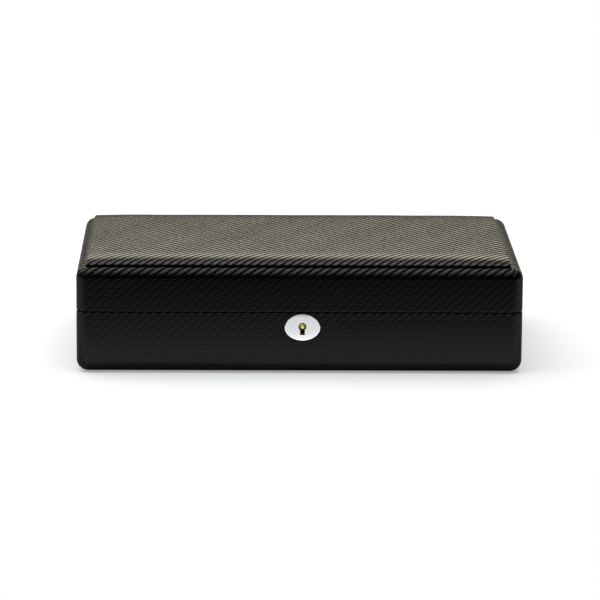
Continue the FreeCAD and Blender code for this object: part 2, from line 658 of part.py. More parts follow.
def pillow_shape(width, depth, height):
    """A loft of rounded sections along X, standing on the level of its origin."""
    wires = []
    for station in PILLOW_STATIONS:
        beyond = (abs(station) - PILLOW_FULL) / (1 - PILLOW_FULL)
        share = 1 - (1 - PILLOW_END_SHARE) * beyond ** 3
        middle = FreeCAD.Vector(station * width / 2, 0, height / 2)
        radius = min(size("pillow_corner"), PILLOW_ROLL_LIMIT * height) * share
        section = FreeCAD.Placement(middle, ACROSS_X)
        wires.append(rounded_wire(depth * share, height * share, radius, section))
    return Part.makeLoft(wires, True, True)


for number in range(ROWS * COLUMNS):
    row, column = divmod(number, COLUMNS)
    cell = slab(
        f"cell_{number + 1}", f"{cell_width} - 2 * pillow_gap", f"{cell_depth} - 2 * pillow_gap",
        "pillow_height",
        f"({column - (COLUMNS - 1) / 2} * ({cell_width} + divider_thickness))",
        f"({row - (ROWS - 1) / 2} * ({cell_depth} + divider_thickness))",
        LINED_FLOOR,
    )
    doc.recompute()
    width, depth = cell.Length.Value, cell.Width.Value
    label = f"watch_pillow_{number + 1:02d}"
    pillow = part(label, doc.addObject("Part::Feature", label))
    pillow.Shape = pillow_shape(width, depth, cell.Height.Value)
    pillow.Placement.Base = cell.Placement.Base + FreeCAD.Vector(width / 2, depth / 2, 0)

# Padded panel on the lid
PAD_ROLL_ANGLES = (30, 60, 90)
pad_room = slab(
    "pad_room", "box_width - 2 * pad_side_inset", "box_depth - 2 * pad_inset", "pad_rise + pad_crown",
    "pad_offset", "0", LEDGE,
)
doc.recompute()


def pad_solid(name, shrink):
    """The crowned pad, drawn in by shrink everywhere but at its foot."""
    bulge, roll = size("pad_bulge"), size("pad_roll")
    rise = size("pad_rise") - shrink
    levels = [(0, size("pad_tuck")), (bulge, 0)]
    for degrees in PAD_ROLL_ANGLES:
        angle = math.radians(degrees)
        levels.append((bulge + (rise - bulge) * math.sin(angle), roll * (1 - math.cos(angle))))
    levels.append((rise + size("pad_crown"), (pad_room.Width.Value - size("pad_middle")) / 2))
    wires = []
    for level, inset in levels:
        narrower = 2 * (inset + shrink)
        middle = FreeCAD.Vector(size("pad_offset"), 0, pad_room.Placement.Base.z + level)
        place_there = FreeCAD.Placement(middle, FreeCAD.Rotation())
        width, depth = pad_room.Length.Value - narrower, pad_room.Width.Value - narrower
        wires.append(rounded_wire(width, depth, size("pad_corner"), place_there))
    solid = doc.addObject("Part::Feature", name)
    solid.Shape = Part.makeLoft(wires, True, True)
    return solid


pad_outside = pad_solid("pad_outside", 0)
pad_inside = pad_solid("pad_inside", size("cover_thickness"))
pad_board = rounded_block(
    "pad_board", "box_width - 2 * pad_side_inset - 2 * pad_board_margin",
    "box_depth - 2 * pad_inset - 2 * pad_board_margin", LEDGE, "pad_board_thickness", "pad_corner / 2",
)
bind(pad_board, **{"Placement.Base.x": "pad_offset"})
part("pad_board", pad_board)
part("pad_foam", cut("pad_foam", pad_inside, pad_board))
part("pad_cover", cut("pad_cover", pad_outside, pad_inside))

# Boards, skin and linings of the lid
lid_tools = {
    "front": [keeper_recess, *keeper_screws],
    "back": [*lid_leaf_recesses, *hinge_lid_screws],
}
for side, region in wall_regions("lid_region", LID_SIDE, LID_INNER_DEPTH, LID, "lid_height").items():
    wall = common(f"lid_{side}", lid_core, region)
    part(f"lid_{side}_wall", cut(f"lid_{side}_wall", wall, *lid_tools.get(side, [])))
panel_bottom = f"({LEDGE} - wrap_thickness - lid_panel_thickness)"
panel_region = slab(
    "panel_region", LID_INNER_WIDTH, LID_INNER_DEPTH, "lid_panel_thickness", "0", "0", panel_bottom,
)
part("lid_top_panel", common("lid_top_panel", lid_core, panel_region))
lid_mouth = slab("lid_mouth", LID_INNER_WIDTH, LID_INNER_DEPTH, "wrap_thickness", "0", "0", LID)
lid_skin = cut("lid_skin", lid_outer, lid_core, lid_mouth)
part("lid_wrap", cut("lid_wrap", lid_skin, keeper_recess, *lid_leaf_recesses))
lining_bottom = f"({panel_bottom} - lid_lining_thickness)"
lid_lining = slab(
    "lid_lining", LID_INNER_WIDTH, LID_INNER_DEPTH, "lid_lining_thickness", "0", "0", lining_bottom,
)
part("lid_lining", lid_lining)
lid_liner_bottom = f"({RIM} + lip_height + lip_clearance)"
lid_liner_height = f"({lining_bottom} - {lid_liner_bottom})"
lid_liner_outer = slab(
    "lid_liner_outer", LID_INNER_WIDTH, LID_INNER_DEPTH, lid_liner_height, "0", "0", lid_liner_bottom,
)
lid_liner_inner = slab(
    "lid_liner_inner", f"{LID_INNER_WIDTH} - 2 * lid_liner_thickness",
    f"{LID_INNER_DEPTH} - 2 * lid_liner_thickness", lid_liner_height, "0", "0", lid_liner_bottom,
)
part("lid_liner", cut("lid_liner", lid_liner_outer, lid_liner_inner))

doc.recompute()
failed = [thing.Label for thing in doc.Objects if {"Invalid", "Error"} & set(thing.State)]
failed += [label for label, thing in parts.items() if thing.Shape.isNull() or not thing.Shape.isValid()]
if failed:
    raise RuntimeError("failed objects: " + ", ".join(failed))

os.makedirs("parts", exist_ok=True)
for label, thing in parts.items():
    thing.Shape.exportStep(f"parts/{label}.step")
print(len(parts), "sub-parts")
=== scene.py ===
"""Looks of the watch box: finishes, padded forms and studio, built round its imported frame."""

from __future__ import annotations

import json
import logging
import math
from collections.abc import Sequence
from dataclasses import dataclass, field
from enum import Enum

import bmesh
import bpy
from mathutils import Matrix, Vector

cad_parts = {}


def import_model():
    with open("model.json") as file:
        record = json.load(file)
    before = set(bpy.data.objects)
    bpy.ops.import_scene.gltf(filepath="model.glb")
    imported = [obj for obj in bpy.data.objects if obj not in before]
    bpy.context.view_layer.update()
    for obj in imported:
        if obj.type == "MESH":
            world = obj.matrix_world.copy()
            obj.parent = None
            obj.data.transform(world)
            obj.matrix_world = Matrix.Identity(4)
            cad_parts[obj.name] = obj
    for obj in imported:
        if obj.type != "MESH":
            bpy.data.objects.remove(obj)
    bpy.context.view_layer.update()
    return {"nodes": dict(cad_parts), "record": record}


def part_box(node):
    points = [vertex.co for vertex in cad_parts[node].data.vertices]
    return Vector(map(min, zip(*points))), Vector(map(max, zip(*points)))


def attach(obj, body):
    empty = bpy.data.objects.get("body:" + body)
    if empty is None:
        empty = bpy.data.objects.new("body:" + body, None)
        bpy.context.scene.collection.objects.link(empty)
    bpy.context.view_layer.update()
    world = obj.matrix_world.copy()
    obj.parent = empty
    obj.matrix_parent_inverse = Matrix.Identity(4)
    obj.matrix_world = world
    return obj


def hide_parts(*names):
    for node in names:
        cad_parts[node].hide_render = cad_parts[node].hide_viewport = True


LOG = logging.getLogger("watch_box")
PHOTO_WIDTH = 600
SENSOR_WIDTH = 36.0
SMOOTH_ANGLE = math.radians(32)

QUARTER_TURN = math.pi / 2
FULL_TURN = 2 * math.pi

Socket = bpy.types.NodeSocket
Colour = tuple[float, float, float, float]
Turn = tuple[float, float, float, float]
WHITE: Colour = (1.0, 1.0, 1.0, 1.0)
MIX_INPUTS = {"FLOAT": (0, 2, 3), "RGBA": (0, 6, 7)}
MIX_OUTPUT = {"FLOAT": 0, "RGBA": 2}


class Body(Enum):
    """Rigid bodies of the frame that the pieces ride on."""

    BASE = "base"
    LID = "lid"


class Slot(Enum):
    """Material slots of the record."""

    LEATHERETTE = "leatherette"
    PAD = "pad_leatherette"
    FELT = "felt"
    LINING = "lining"
    PILLOW = "pillow"
    FOAM = "foam"
    CARD = "card"
    BOARD = "board"
    PLATE = "plate_metal"
    BRASS = "brass"
    FITTINGS = "fittings_metal"


class Wiring:
    """Adds nodes to a shader tree and joins them."""

    def __init__(self, tree: bpy.types.NodeTree) -> None:
        """Start from an empty tree.

        Args:
            tree: The material's or group's node tree.
        """
        self.tree = tree
        tree.nodes.clear()

    def add(self, kind: str, inputs: dict[str, object] | None = None, **settings: object) -> bpy.types.Node:
        """Add a node.

        Args:
            kind: The node's type name.
            inputs: Socket names with the value or socket that each takes.
            settings: Properties of the node.

        Returns:
            The new node.
        """
        node = self.tree.nodes.new(kind)
        for name, value in settings.items():
            setattr(node, name, value)
        self.fill(node, inputs or {})
        return node

    def fill(self, node: bpy.types.Node, inputs: dict[str, object]) -> None:
        """Join or set several inputs of a node.

        Args:
            node: The node.
            inputs: Socket names with the value or socket that each takes.
        """
        for name, value in inputs.items():
            self.feed(node.inputs[name], value)

    def feed(self, target: Socket, value: object) -> None:
        """Join a socket to another one, or set its value.

        Args:
            target: The input socket.
            value: A socket, or a plain value.
        """
        if isinstance(value, bpy.types.NodeSocket):
            self.tree.links.new(value, target)
        else:
            target.default_value = value

    def math(self, operation: str, first: object, second: object = 0.0, third: object = 0.0) -> Socket:
        """Add a Math node.

        Args:
            operation: Name of the operation.
            first: First operand.
            second: Second operand.
            third: Third operand.

        Returns:
            The node's output.
        """
        node = self.tree.nodes.new("ShaderNodeMath")
        node.operation = operation
        for target, value in zip(node.inputs, (first, second, third)):
            self.feed(target, value)
        return node.outputs[0]

    def mixed(self, kind: str, *values: object) -> Socket:
        """Add a Mix node.

        Args:
            kind: What it mixes: FLOAT or RGBA.
            values: Share of the second thing, the first thing and the second thing.

        Returns:
            The node's output.
        """
        node = self.add("ShaderNodeMix", data_type=kind)
        for index, value in zip(MIX_INPUTS[kind], values):
            self.feed(node.inputs[index], value)
        return node.outputs[MIX_OUTPUT[kind]]

    def mix(self, share: object, first: object, second: object) -> Socket:
        """Mix two numbers by the share of the second one."""
        return self.mixed("FLOAT", share, first, second)

    def blend(self, share: object, first: object, second: object) -> Socket:
        """Mix two colours by the share of the second one."""
        return self.mixed("RGBA", share, first, second)

    def ramp(self, value: object, start: float, end: float, first: float, last: float) -> Socket:
        """Turn a number smoothly from one level to another.

        Args:
            value: The number.
            start: Where the turn starts.
            end: Where it ends.
            first: Level before it.
            last: Level after it.

        Returns:
            The level.
        """
        node = self.add("ShaderNodeMapRange", interpolation_type="SMOOTHSTEP")
        for target, number in zip(node.inputs, (value, start, end, first, last)):
            self.feed(target, number)
        return node.outputs[0]

    def group(self, tree: bpy.types.NodeTree, inputs: dict[str, object]) -> bpy.types.bpy_prop_collection:
        """Place a shader group.

        Args:
            tree: The group.
            inputs: Socket names with the value or socket that each takes.

        Returns:
            Its outputs by name.
        """
        return self.add("ShaderNodeGroup", inputs, node_tree=tree).outputs

    def noise(self, place: Socket, scale: Socket, detail: float) -> Socket:
        """Add a noise texture.

        Args:
            place: Where it is looked up.
            scale: Its scale.
            detail: Number of its finer layers.

        Returns:
            The noise.
        """
        node = self.add("ShaderNodeTexNoise", {"Vector": place, "Scale": scale, "Detail": detail})
        return node.outputs["Fac"]

    def bump(self, height: Socket, distance: float, strength: float) -> Socket:
        """Add a Bump node.

        Args:
            height: The height of the surface.
            distance: What a height of 1 stands for, in metres.
            strength: Strength of the bump.

        Returns:
            The bumped normal.
        """
        node = self.add("ShaderNodeBump", {"Height": height, "Distance": distance, "Strength": strength})
        return node.outputs["Normal"]

    def split(self, vector: Socket) -> bpy.types.bpy_prop_collection:
        """Return the outputs that hold the X, Y and Z of a vector."""
        return self.add("ShaderNodeSeparateXYZ", {"Vector": vector}).outputs

    def object_place(self) -> Socket:
        """Return the position on the object."""
        return self.add("ShaderNodeTexCoord").outputs["Object"]


def node_group(
    name: str, inputs: dict[str, tuple[str, object]], outputs: dict[str, str], kind: str = "ShaderNodeTree"
) -> tuple[Wiring, bpy.types.Node, bpy.types.Node]:
    """Start a node group.

    Args:
        name: Name of the group.
        inputs: Input names with socket type and default value.
        outputs: Output names with socket type.
        kind: Type of the node tree.

    Returns:
        The wiring, the group's input node and its output node.
    """
    tree = bpy.data.node_groups.new(name, kind)
    for label, (socket_type, default) in inputs.items():
        socket = tree.interface.new_socket(label, in_out="INPUT", socket_type=socket_type)
        if default is not None:
            socket.default_value = default
    for label, socket_type in outputs.items():
        tree.interface.new_socket(label, in_out="OUTPUT", socket_type=socket_type)
    wiring = Wiring(tree)
    return wiring, wiring.add("NodeGroupInput"), wiring.add("NodeGroupOutput")


def twill_weave_group() -> bpy.types.NodeTree:
    """Build the embossed two-by-two twill.

    Returns:
        A group that turns a position on the skin, in metres, into the height of the tows, a mask of
        the tows that run up the skin, and the fine fibre lines along each tow.
    """
    wiring, source, result = node_group(
        "twill_weave",
        {
            "Position": ("NodeSocketVector", None),
            "Tow Across": ("NodeSocketFloat", 0.0016),
            "Tow Along": ("NodeSocketFloat", 0.0016),
        },
        {output: "NodeSocketFloat" for output in ("Height", "Upright", "Fibre")},
    )
    tows_in_repeat = 4.0
    last_upright = 1.5
    fibres_per_tow = 7.0
    tow_roundness = 2.5
    arch_share = 0.7
    place = wiring.split(source.outputs["Position"])
    across = wiring.math("DIVIDE", place["X"], source.outputs["Tow Across"])
    along = wiring.math("DIVIDE", place["Y"], source.outputs["Tow Along"])
    column = wiring.math("FLOOR", across)
    row = wiring.math("FLOOR", along)
    column_share = wiring.math("SUBTRACT", across, column)
    row_share = wiring.math("SUBTRACT", along, row)
    phase = wiring.math("FLOORED_MODULO", wiring.math("SUBTRACT", column, row), tows_in_repeat)
    upright = wiring.math("LESS_THAN", phase, last_upright)
    up_run = wiring.math("ADD", wiring.math("SUBTRACT", 1.0, phase), row_share)
    cross_run = wiring.math("ADD", wiring.math("SUBTRACT", phase, 2.0), column_share)
    run = wiring.math("MULTIPLY", wiring.mix(upright, cross_run, up_run), QUARTER_TURN)
    side = wiring.mix(upright, row_share, column_share)
    off_middle = wiring.math("ABSOLUTE", wiring.math("MULTIPLY_ADD", side, 2.0, -1.0))
    roundness = wiring.math("SUBTRACT", 1.0, wiring.math("POWER", off_middle, tow_roundness))
    arch = wiring.math("MULTIPLY_ADD", wiring.math("SINE", run), arch_share, 1.0 - arch_share)
    fibre = wiring.math("SINE", wiring.math("MULTIPLY", side, FULL_TURN * fibres_per_tow))
    wiring.fill(result, {
        "Height": wiring.math("MULTIPLY", roundness, arch),
        "Upright": upright,
        "Fibre": wiring.math("MULTIPLY_ADD", fibre, 0.5, 0.5),
    })
    return wiring.tree


def nap_group() -> bpy.types.NodeTree:
    """Build the brushed nap of suede and felt.

    Returns:
        A group that gives a soft blotch mask and the height of the pile at an object position.
    """
    wiring, source, result = node_group(
        "cloth_nap",
        {
            "Position": ("NodeSocketVector", None),
            "Pile Scale": ("NodeSocketFloat", 1800.0),
            "Blotch Scale": ("NodeSocketFloat", 45.0),
        },
        {"Blotch": "NodeSocketFloat", "Height": "NodeSocketFloat"},
    )
    pile_detail = 2.0
    blotch_detail = 3.0
    place = source.outputs["Position"]
    wiring.fill(result, {
        "Height": wiring.noise(place, source.outputs["Pile Scale"], pile_detail),
        "Blotch": wiring.noise(place, source.outputs["Blotch Scale"], blotch_detail),
    })
    return wiring.tree


def handling_group() -> bpy.types.NodeTree:
    """Build the faint smears and scratches that handling leaves on smooth surfaces.

    Returns:
        A group that gives a smear mask and fine scratch lines at an object position.
    """
    wiring, source, result = node_group(
        "handling_marks",
        {
            "Position": ("NodeSocketVector", None),
            "Smear Scale": ("NodeSocketFloat", 60.0),
            "Scratch Scale": ("NodeSocketFloat", 900.0),
        },
        {"Smear": "NodeSocketFloat", "Scratch": "NodeSocketFloat"},
    )
    smear_detail = 4.0
    scratch_detail = 1.0
    scratch_stretch = (1.0, 1.0, 0.06)
    place = source.outputs["Position"]
    stretched = wiring.add("ShaderNodeMapping", {"Vector": place, "Scale": scratch_stretch})
    lines = wiring.noise(stretched.outputs["Vector"], source.outputs["Scratch Scale"], scratch_detail)
    wiring.fill(result, {
        "Smear": wiring.noise(place, source.outputs["Smear Scale"], smear_detail),
        "Scratch": lines,
    })
    return wiring.tree


@dataclass
class Workshop:
    """Shader groups that several finishes share."""

    twill: bpy.types.NodeTree = field(default_factory=twill_weave_group)
    nap: bpy.types.NodeTree = field(default_factory=nap_group)
    handling: bpy.types.NodeTree = field(default_factory=handling_group)


def start_material(name: str) -> tuple[bpy.types.Material, Wiring, bpy.types.Node]:
    """Start a material with a Principled shader.

    Args:
        name: Name of the material.

    Returns:
        The material, its wiring and the shader node.
    """
    material = bpy.data.materials.new(name)
    material.use_nodes = True
    wiring = Wiring(material.node_tree)
    shader = wiring.add("ShaderNodeBsdfPrincipled")
    wiring.add("ShaderNodeOutputMaterial", {"Surface": shader.outputs["BSDF"]})
    return material, wiring, shader


@dataclass(frozen=True)
class TwillLeatherette:
    """Black leatherette with an embossed twill, laid by the UV map of the piece.

    Surfaces that face up are rubbed by hands: there the two kinds of tow differ more in gloss.
    """

    name: str
    tow_across: float
    tow_along: float
    upright_colour: Colour
    cross_colour: Colour
    upright_gloss: float
    cross_gloss: float
    side_upright_gloss: float
    side_cross_gloss: float
    relief: float
    roughness: float = 0.50
    gloss_roughness: float = 0.20
    smear: float = 0.12
    fibre_share: float = 0.008
    rub_start: float = 0.1
    rub_end: float = 0.5

    def material(self, shop: Workshop) -> bpy.types.Material:
        """Build the material.

        Args:
            shop: The shared shader groups.

        Returns:
            The finished material.
        """
        material, wiring, shader = start_material(self.name)
        skin = wiring.add("ShaderNodeUVMap", uv_map="skin").outputs["UV"]
        tows = {"Tow Across": self.tow_across, "Tow Along": self.tow_along}
        twill = wiring.group(shop.twill, {"Position": skin, **tows})
        marks = wiring.group(shop.handling, {"Position": wiring.object_place()})
        least_rough = self.roughness - self.smear / 2
        facing = wiring.split(wiring.add("ShaderNodeTexCoord").outputs["Normal"])
        rubbed = wiring.ramp(facing["Z"], self.rub_start, self.rub_end, 0.0, 1.0)
        upright = wiring.mix(rubbed, self.side_upright_gloss, self.upright_gloss)
        cross = wiring.mix(rubbed, self.side_cross_gloss, self.cross_gloss)
        height = wiring.math("MULTIPLY_ADD", twill["Fibre"], self.fibre_share, twill["Height"])
        normal = wiring.bump(height, self.relief, 1.0)
        wiring.fill(shader, {
            "Base Color": wiring.blend(twill["Upright"], self.cross_colour, self.upright_colour),
            "Roughness": wiring.math("MULTIPLY_ADD", marks["Smear"], self.smear, least_rough),
            "Coat Weight": wiring.mix(twill["Upright"], cross, upright),
            "Coat Roughness": self.gloss_roughness,
            "Specular IOR Level": 0.0,
            "Normal": normal,
            "Coat Normal": normal,
        })
        return material


@dataclass(frozen=True)
class BrushedCloth:
    """Suede-like lining or felt: a soft pile with a sheen."""

    name: str
    colour: Colour
    rubbed_colour: Colour
    pile_scale: float
    pile_relief: float
    sheen: float
    pile_strength: float = 0.7
    roughness: float = 0.82
    rubbed_roughness: float = 0.95
    sheen_roughness: float = 0.45
    specular: float = 0.2

    def material(self, shop: Workshop) -> bpy.types.Material:
        """Build the material.

        Args:
            shop: The shared shader groups.

        Returns:
            The finished material.
        """
        material, wiring, shader = start_material(self.name)
        pile = {"Position": wiring.object_place(), "Pile Scale": self.pile_scale}
        nap = wiring.group(shop.nap, pile)
        wiring.fill(shader, {
            "Base Color": wiring.blend(nap["Blotch"], self.colour, self.rubbed_colour),
            "Roughness": wiring.mix(nap["Blotch"], self.roughness, self.rubbed_roughness),
            "Normal": wiring.bump(nap["Height"], self.pile_relief, self.pile_strength),
            "Sheen Weight": self.sheen,
            "Sheen Roughness": self.sheen_roughness,
            "Specular IOR Level": self.specular,
        })
        return material


@dataclass(frozen=True)
class PlainMetal:
    """Plated or solid metal with the faint marks of handling."""

    name: str
    colour: Colour
    smeared_colour: Colour
    roughness: float
    smear_roughness: float
    scratch_relief: float
    scratch_strength: float = 0.4

    def material(self, shop: Workshop) -> bpy.types.Material:
        """Build the material.

        Args:
            shop: The shared shader groups.

        Returns:
            The finished material.
        """
        material, wiring, shader = start_material(self.name)
        marks = wiring.group(shop.handling, {"Position": wiring.object_place()})
        wiring.fill(shader, {
            "Base Color": wiring.blend(marks["Smear"], self.colour, self.smeared_colour),
            "Roughness": wiring.mix(marks["Smear"], self.roughness, self.smear_roughness),
            "Normal": wiring.bump(marks["Scratch"], self.scratch_relief, self.scratch_strength),
            "Metallic": 1.0,
        })
        return material


@dataclass(frozen=True)
class PressedBoard:
    """Fibreboard, card or foam: a speckled matt stuff that only shows inside cuts."""

    name: str
    colour: Colour
    speck_colour: Colour
    speck_scale: float
    speck_relief: float = 0.0001
    speck_strength: float = 0.5
    roughness: float = 0.75
    blotch_roughness: float = 0.95

    def material(self, shop: Workshop) -> bpy.types.Material:
        """Build the material.

        Args:
            shop: The shared shader groups.

        Returns:
            The finished material.
        """
        material, wiring, shader = start_material(self.name)
        specks = {"Position": wiring.object_place(), "Pile Scale": self.speck_scale}
        nap = wiring.group(shop.nap, specks)
        wiring.fill(shader, {
            "Base Color": wiring.blend(nap["Height"], self.colour, self.speck_colour),
            "Roughness": wiring.mix(nap["Blotch"], self.roughness, self.blotch_roughness),
            "Normal": wiring.bump(nap["Height"], self.speck_relief, self.speck_strength),
        })
        return material


@dataclass
class Finishes:
    """Materials of the record's slots, each built once."""

    shop: Workshop
    materials: dict[Slot, bpy.types.Material] = field(default_factory=dict)

    def __post_init__(self) -> None:
        """Build one material for each slot."""
        recipes = {
            Slot.LEATHERETTE: TwillLeatherette(
                "twill_leatherette", tow_across=0.00173, tow_along=0.00156, relief=0.00010,
                upright_colour=(0.0032, 0.0032, 0.0034, 1), cross_colour=(0.0028, 0.0028, 0.0030, 1),
                upright_gloss=0.02, cross_gloss=0.80, side_upright_gloss=0.27, side_cross_gloss=0.35,
            ),
            Slot.PAD: TwillLeatherette(
                "twill_pad_leatherette", tow_across=0.00150, tow_along=0.00168, relief=0.00008,
                upright_colour=(0.006, 0.006, 0.0054, 1), cross_colour=(0.003, 0.003, 0.0027, 1),
                upright_gloss=1.00, cross_gloss=0.08, side_upright_gloss=1.00, side_cross_gloss=0.08,
            ),
            Slot.FELT: BrushedCloth(
                "felt_black", (0.012, 0.012, 0.012, 1), (0.022, 0.022, 0.022, 1),
                pile_scale=1200.0, pile_relief=0.0003, sheen=0.15,
            ),
            Slot.LINING: BrushedCloth(
                "suede_lining", (0.030, 0.030, 0.032, 1), (0.050, 0.050, 0.053, 1),
                pile_scale=2400.0, pile_relief=0.0002, sheen=0.35,
            ),
            Slot.PILLOW: BrushedCloth(
                "suede_pillow", (0.060, 0.059, 0.057, 1), (0.095, 0.093, 0.09, 1),
                pile_scale=2200.0, pile_relief=0.0002, sheen=0.4,
            ),
            Slot.FOAM: PressedBoard("foam_grey", (0.20, 0.20, 0.19, 1), (0.33, 0.33, 0.31, 1), 900.0),
            Slot.CARD: PressedBoard("grey_card", (0.22, 0.20, 0.18, 1), (0.33, 0.31, 0.28, 1), 1500.0),
            Slot.BOARD: PressedBoard("fibreboard", (0.30, 0.20, 0.12, 1), (0.42, 0.30, 0.19, 1), 1300.0),
            Slot.PLATE: PlainMetal(
                "bright_plate", (0.97, 0.97, 0.96, 1), (0.94, 0.94, 0.93, 1),
                roughness=0.08, smear_roughness=0.14, scratch_relief=0.000004,
            ),
            Slot.BRASS: PlainMetal(
                "lock_brass", (1.0, 0.86, 0.28, 1), (0.95, 0.78, 0.22, 1),
                roughness=0.15, smear_roughness=0.25, scratch_relief=0.000004,
            ),
            Slot.FITTINGS: PlainMetal(
                "steel_fittings", (0.62, 0.62, 0.61, 1), (0.52, 0.52, 0.51, 1),
                roughness=0.24, smear_roughness=0.36, scratch_relief=0.00002,
            ),
        }
        for slot, recipe in recipes.items():
            self.materials[slot] = recipe.material(self.shop)

    def dress(self, piece: bpy.types.Object, slot: Slot) -> None:
        """Give a piece, or a node of the frame, the material of a slot.

        Args:
            piece: The object.
            slot: The slot whose material it takes.
        """
        material = self.materials[slot]
        if not piece.material_slots:
            piece.data.materials.append(material)
        for place in piece.material_slots:
            place.material = material


ProfilePoint = tuple[float, float]
SkinPlace = tuple[float, float]
Stretch = tuple[int, int]


class SkinMesh:
    """Points, faces and skin positions of a piece in the making."""

    def __init__(self) -> None:
        """Start with nothing."""
        self.points: list[Vector] = []
        self.faces: list[tuple[int, ...]] = []
        self.skin: list[SkinPlace] = []

    def ring(self, places: Sequence[Vector]) -> list[int]:
        """Add points.

        Args:
            places: Where they are.

        Returns:
            Their numbers.
        """
        first = len(self.points)
        self.points.extend(places)
        return list(range(first, len(self.points)))

    def face(self, corners: Sequence[int], skin: Sequence[SkinPlace]) -> None:
        """Add a face.

        Args:
            corners: Numbers of its points, anticlockwise seen from outside.
            skin: Position of each corner on the laid-out skin.
        """
        self.faces.append(tuple(corners))
        self.skin.extend(skin)

    def band(
        self, lower: Sequence[int], upper: Sequence[int],
        lower_skin: Sequence[SkinPlace], upper_skin: Sequence[SkinPlace],
    ) -> None:
        """Join two closed rings of points with faces.

        Args:
            lower: Numbers of the points of the one ring.
            upper: Numbers of the points of the other one.
            lower_skin: Positions of the one ring on the skin, with one more for its return.
            upper_skin: Positions of the other one.
        """
        count = len(lower)
        for here in range(count):
            there = (here + 1) % count
            corners = (lower[here], lower[there], upper[there], upper[here])
            skin = (lower_skin[here], lower_skin[here + 1], upper_skin[here + 1], upper_skin[here])
            self.face(corners, skin)

    def piece(self, name: str) -> bpy.types.Object:
        """Turn the mesh into an object of the scene.

        Args:
            name: Name of the piece.

        Returns:
            The new object.
        """
        mesh = bpy.data.meshes.new(name)
        mesh.from_pydata(self.points, [], self.faces)
        layer = mesh.uv_layers.new(name="skin")
        layer.data.foreach_set("uv", [value for place in self.skin for value in place])
        return new_piece(name, mesh)


def put(name: str, data: bpy.types.ID) -> bpy.types.Object:
    """Put an object into the scene.

    Args:
        name: Its name.
        data: Its mesh, light or camera.

    Returns:
        The new object.
    """
    item = bpy.data.objects.new(name, data)
    bpy.context.scene.collection.objects.link(item)
    return item


def new_piece(name: str, mesh: bpy.types.Mesh) -> bpy.types.Object:
    """Put a mesh into the scene, smooth with sharp edges at steep angles.

    Args:
        name: Name of the piece.
        mesh: Its mesh.

    Returns:
        The new object.
    """
    smooth(mesh)
    return put(name, mesh)


def smooth(mesh: bpy.types.Mesh) -> None:
    """Shade a mesh smooth, apart from its steep edges."""
    mesh.polygons.foreach_set("use_smooth", [True] * len(mesh.polygons))
    mesh.set_sharp_from_angle(angle=SMOOTH_ANGLE)
    mesh.update()


@dataclass(frozen=True)
class RoundedOutline:
    """A rectangle with round corners, walked from the middle of the back towards the left."""

    width: float
    depth: float
    radius: float
    corner_steps: int = 12
    least_radius: float = 0.0003

    def ring(self, inset: float, height: float) -> list[Vector]:
        """Walk the outline.

        Args:
            inset: How far it is drawn in.
            height: Level of the ring.

        Returns:
            Its points, without a repeat of the first one.
        """
        radius = max(self.radius - inset, self.least_radius)
        middle_x = self.width / 2 - inset - radius
        middle_y = self.depth / 2 - inset - radius
        points = [Vector((0.0, self.depth / 2 - inset, height))]
        for quarter, (sign_x, sign_y) in enumerate(((-1, 1), (-1, -1), (1, -1), (1, 1)), start=1):
            for step in range(self.corner_steps + 1):
                angle = (quarter + step / self.corner_steps) * QUARTER_TURN
                x = sign_x * middle_x + radius * math.cos(angle)
                y = sign_y * middle_y + radius * math.sin(angle)
                points.append(Vector((x, y, height)))
        return points

    def stations(self) -> list[float]:
        """Return the distance walked at each point of the outline, and at the return to the first one."""
        points = self.ring(0.0, 0.0)
        walked = [0.0]
        for here, there in zip(points, points[1:] + points[:1]):
            walked.append(walked[-1] + (there - here).length)
        return walked

    def swept(self, profile: Sequence[ProfilePoint]) -> SkinMesh:
        """Sweep a closed profile round the outline.

        Args:
            profile: Inset and height of its points, up the outside and back down the inside.

        Returns:
            The mesh, with skin positions along the outline and up the profile.
        """
        mesh = SkinMesh()
        rings = [mesh.ring(self.ring(inset, height)) for inset, height in profile]
        along = self.stations()
        rise = [0.0]
        for here, there in zip(profile, [*profile[1:], profile[0]]):
            rise.append(rise[-1] + math.dist(here, there))
        for level, lower in enumerate(rings):
            upper = rings[(level + 1) % len(rings)]
            skins = [[(station, height) for station in along] for height in rise[level:level + 2]]
            mesh.band(lower, upper, *skins)
        return mesh


def quarter_arc(inset: float, height: float, radius: float, start: float, steps: int) -> list[ProfilePoint]:
    """Points of a quarter circle in a profile.

    Args:
        inset: Inset of its middle.
        height: Height of its middle.
        radius: Its radius.
        start: Angle in degrees where it starts: 0 outwards, 90 up, -90 down.
        steps: Number of stretches; the arc turns upwards over the outside.

    Returns:
        The points from start to a quarter turn further.
    """
    points = []
    for step in range(steps + 1):
        angle = math.radians(start + 90.0 * step / steps)
        points.append((inset - radius * math.cos(angle), height + radius * math.sin(angle)))
    return points


def quarter_round(steps: int) -> list[tuple[float, float]]:
    """Round an edge off.

    Args:
        steps: Number of stretches.

    Returns:
        How far in from the side, and how far short of the top, each point of the edge lies, as
        shares of its radius.
    """
    angles = [QUARTER_TURN * step / steps for step in range(steps + 1)]
    return [(1.0 - math.cos(angle), 1.0 - math.sin(angle)) for angle in angles]


def spoke(angle: float, reach: float, y: float) -> Vector:
    """Return a place by its direction and distance round the Y axis, and its place along it."""
    return Vector((reach * math.cos(angle), y, reach * math.sin(angle)))


def block_cutter(low: Vector, high: Vector) -> bmesh.types.BMesh:
    """Make a block to cut with.

    Args:
        low: Its lowest corner.
        high: Its highest corner.

    Returns:
        The block as a new bmesh.
    """
    cutter = bmesh.new()
    size = high - low
    shape = Matrix.Translation((low + high) / 2) @ Matrix.Diagonal((*size, 1.0))
    bmesh.ops.create_cube(cutter, size=1.0, matrix=shape)
    return cutter


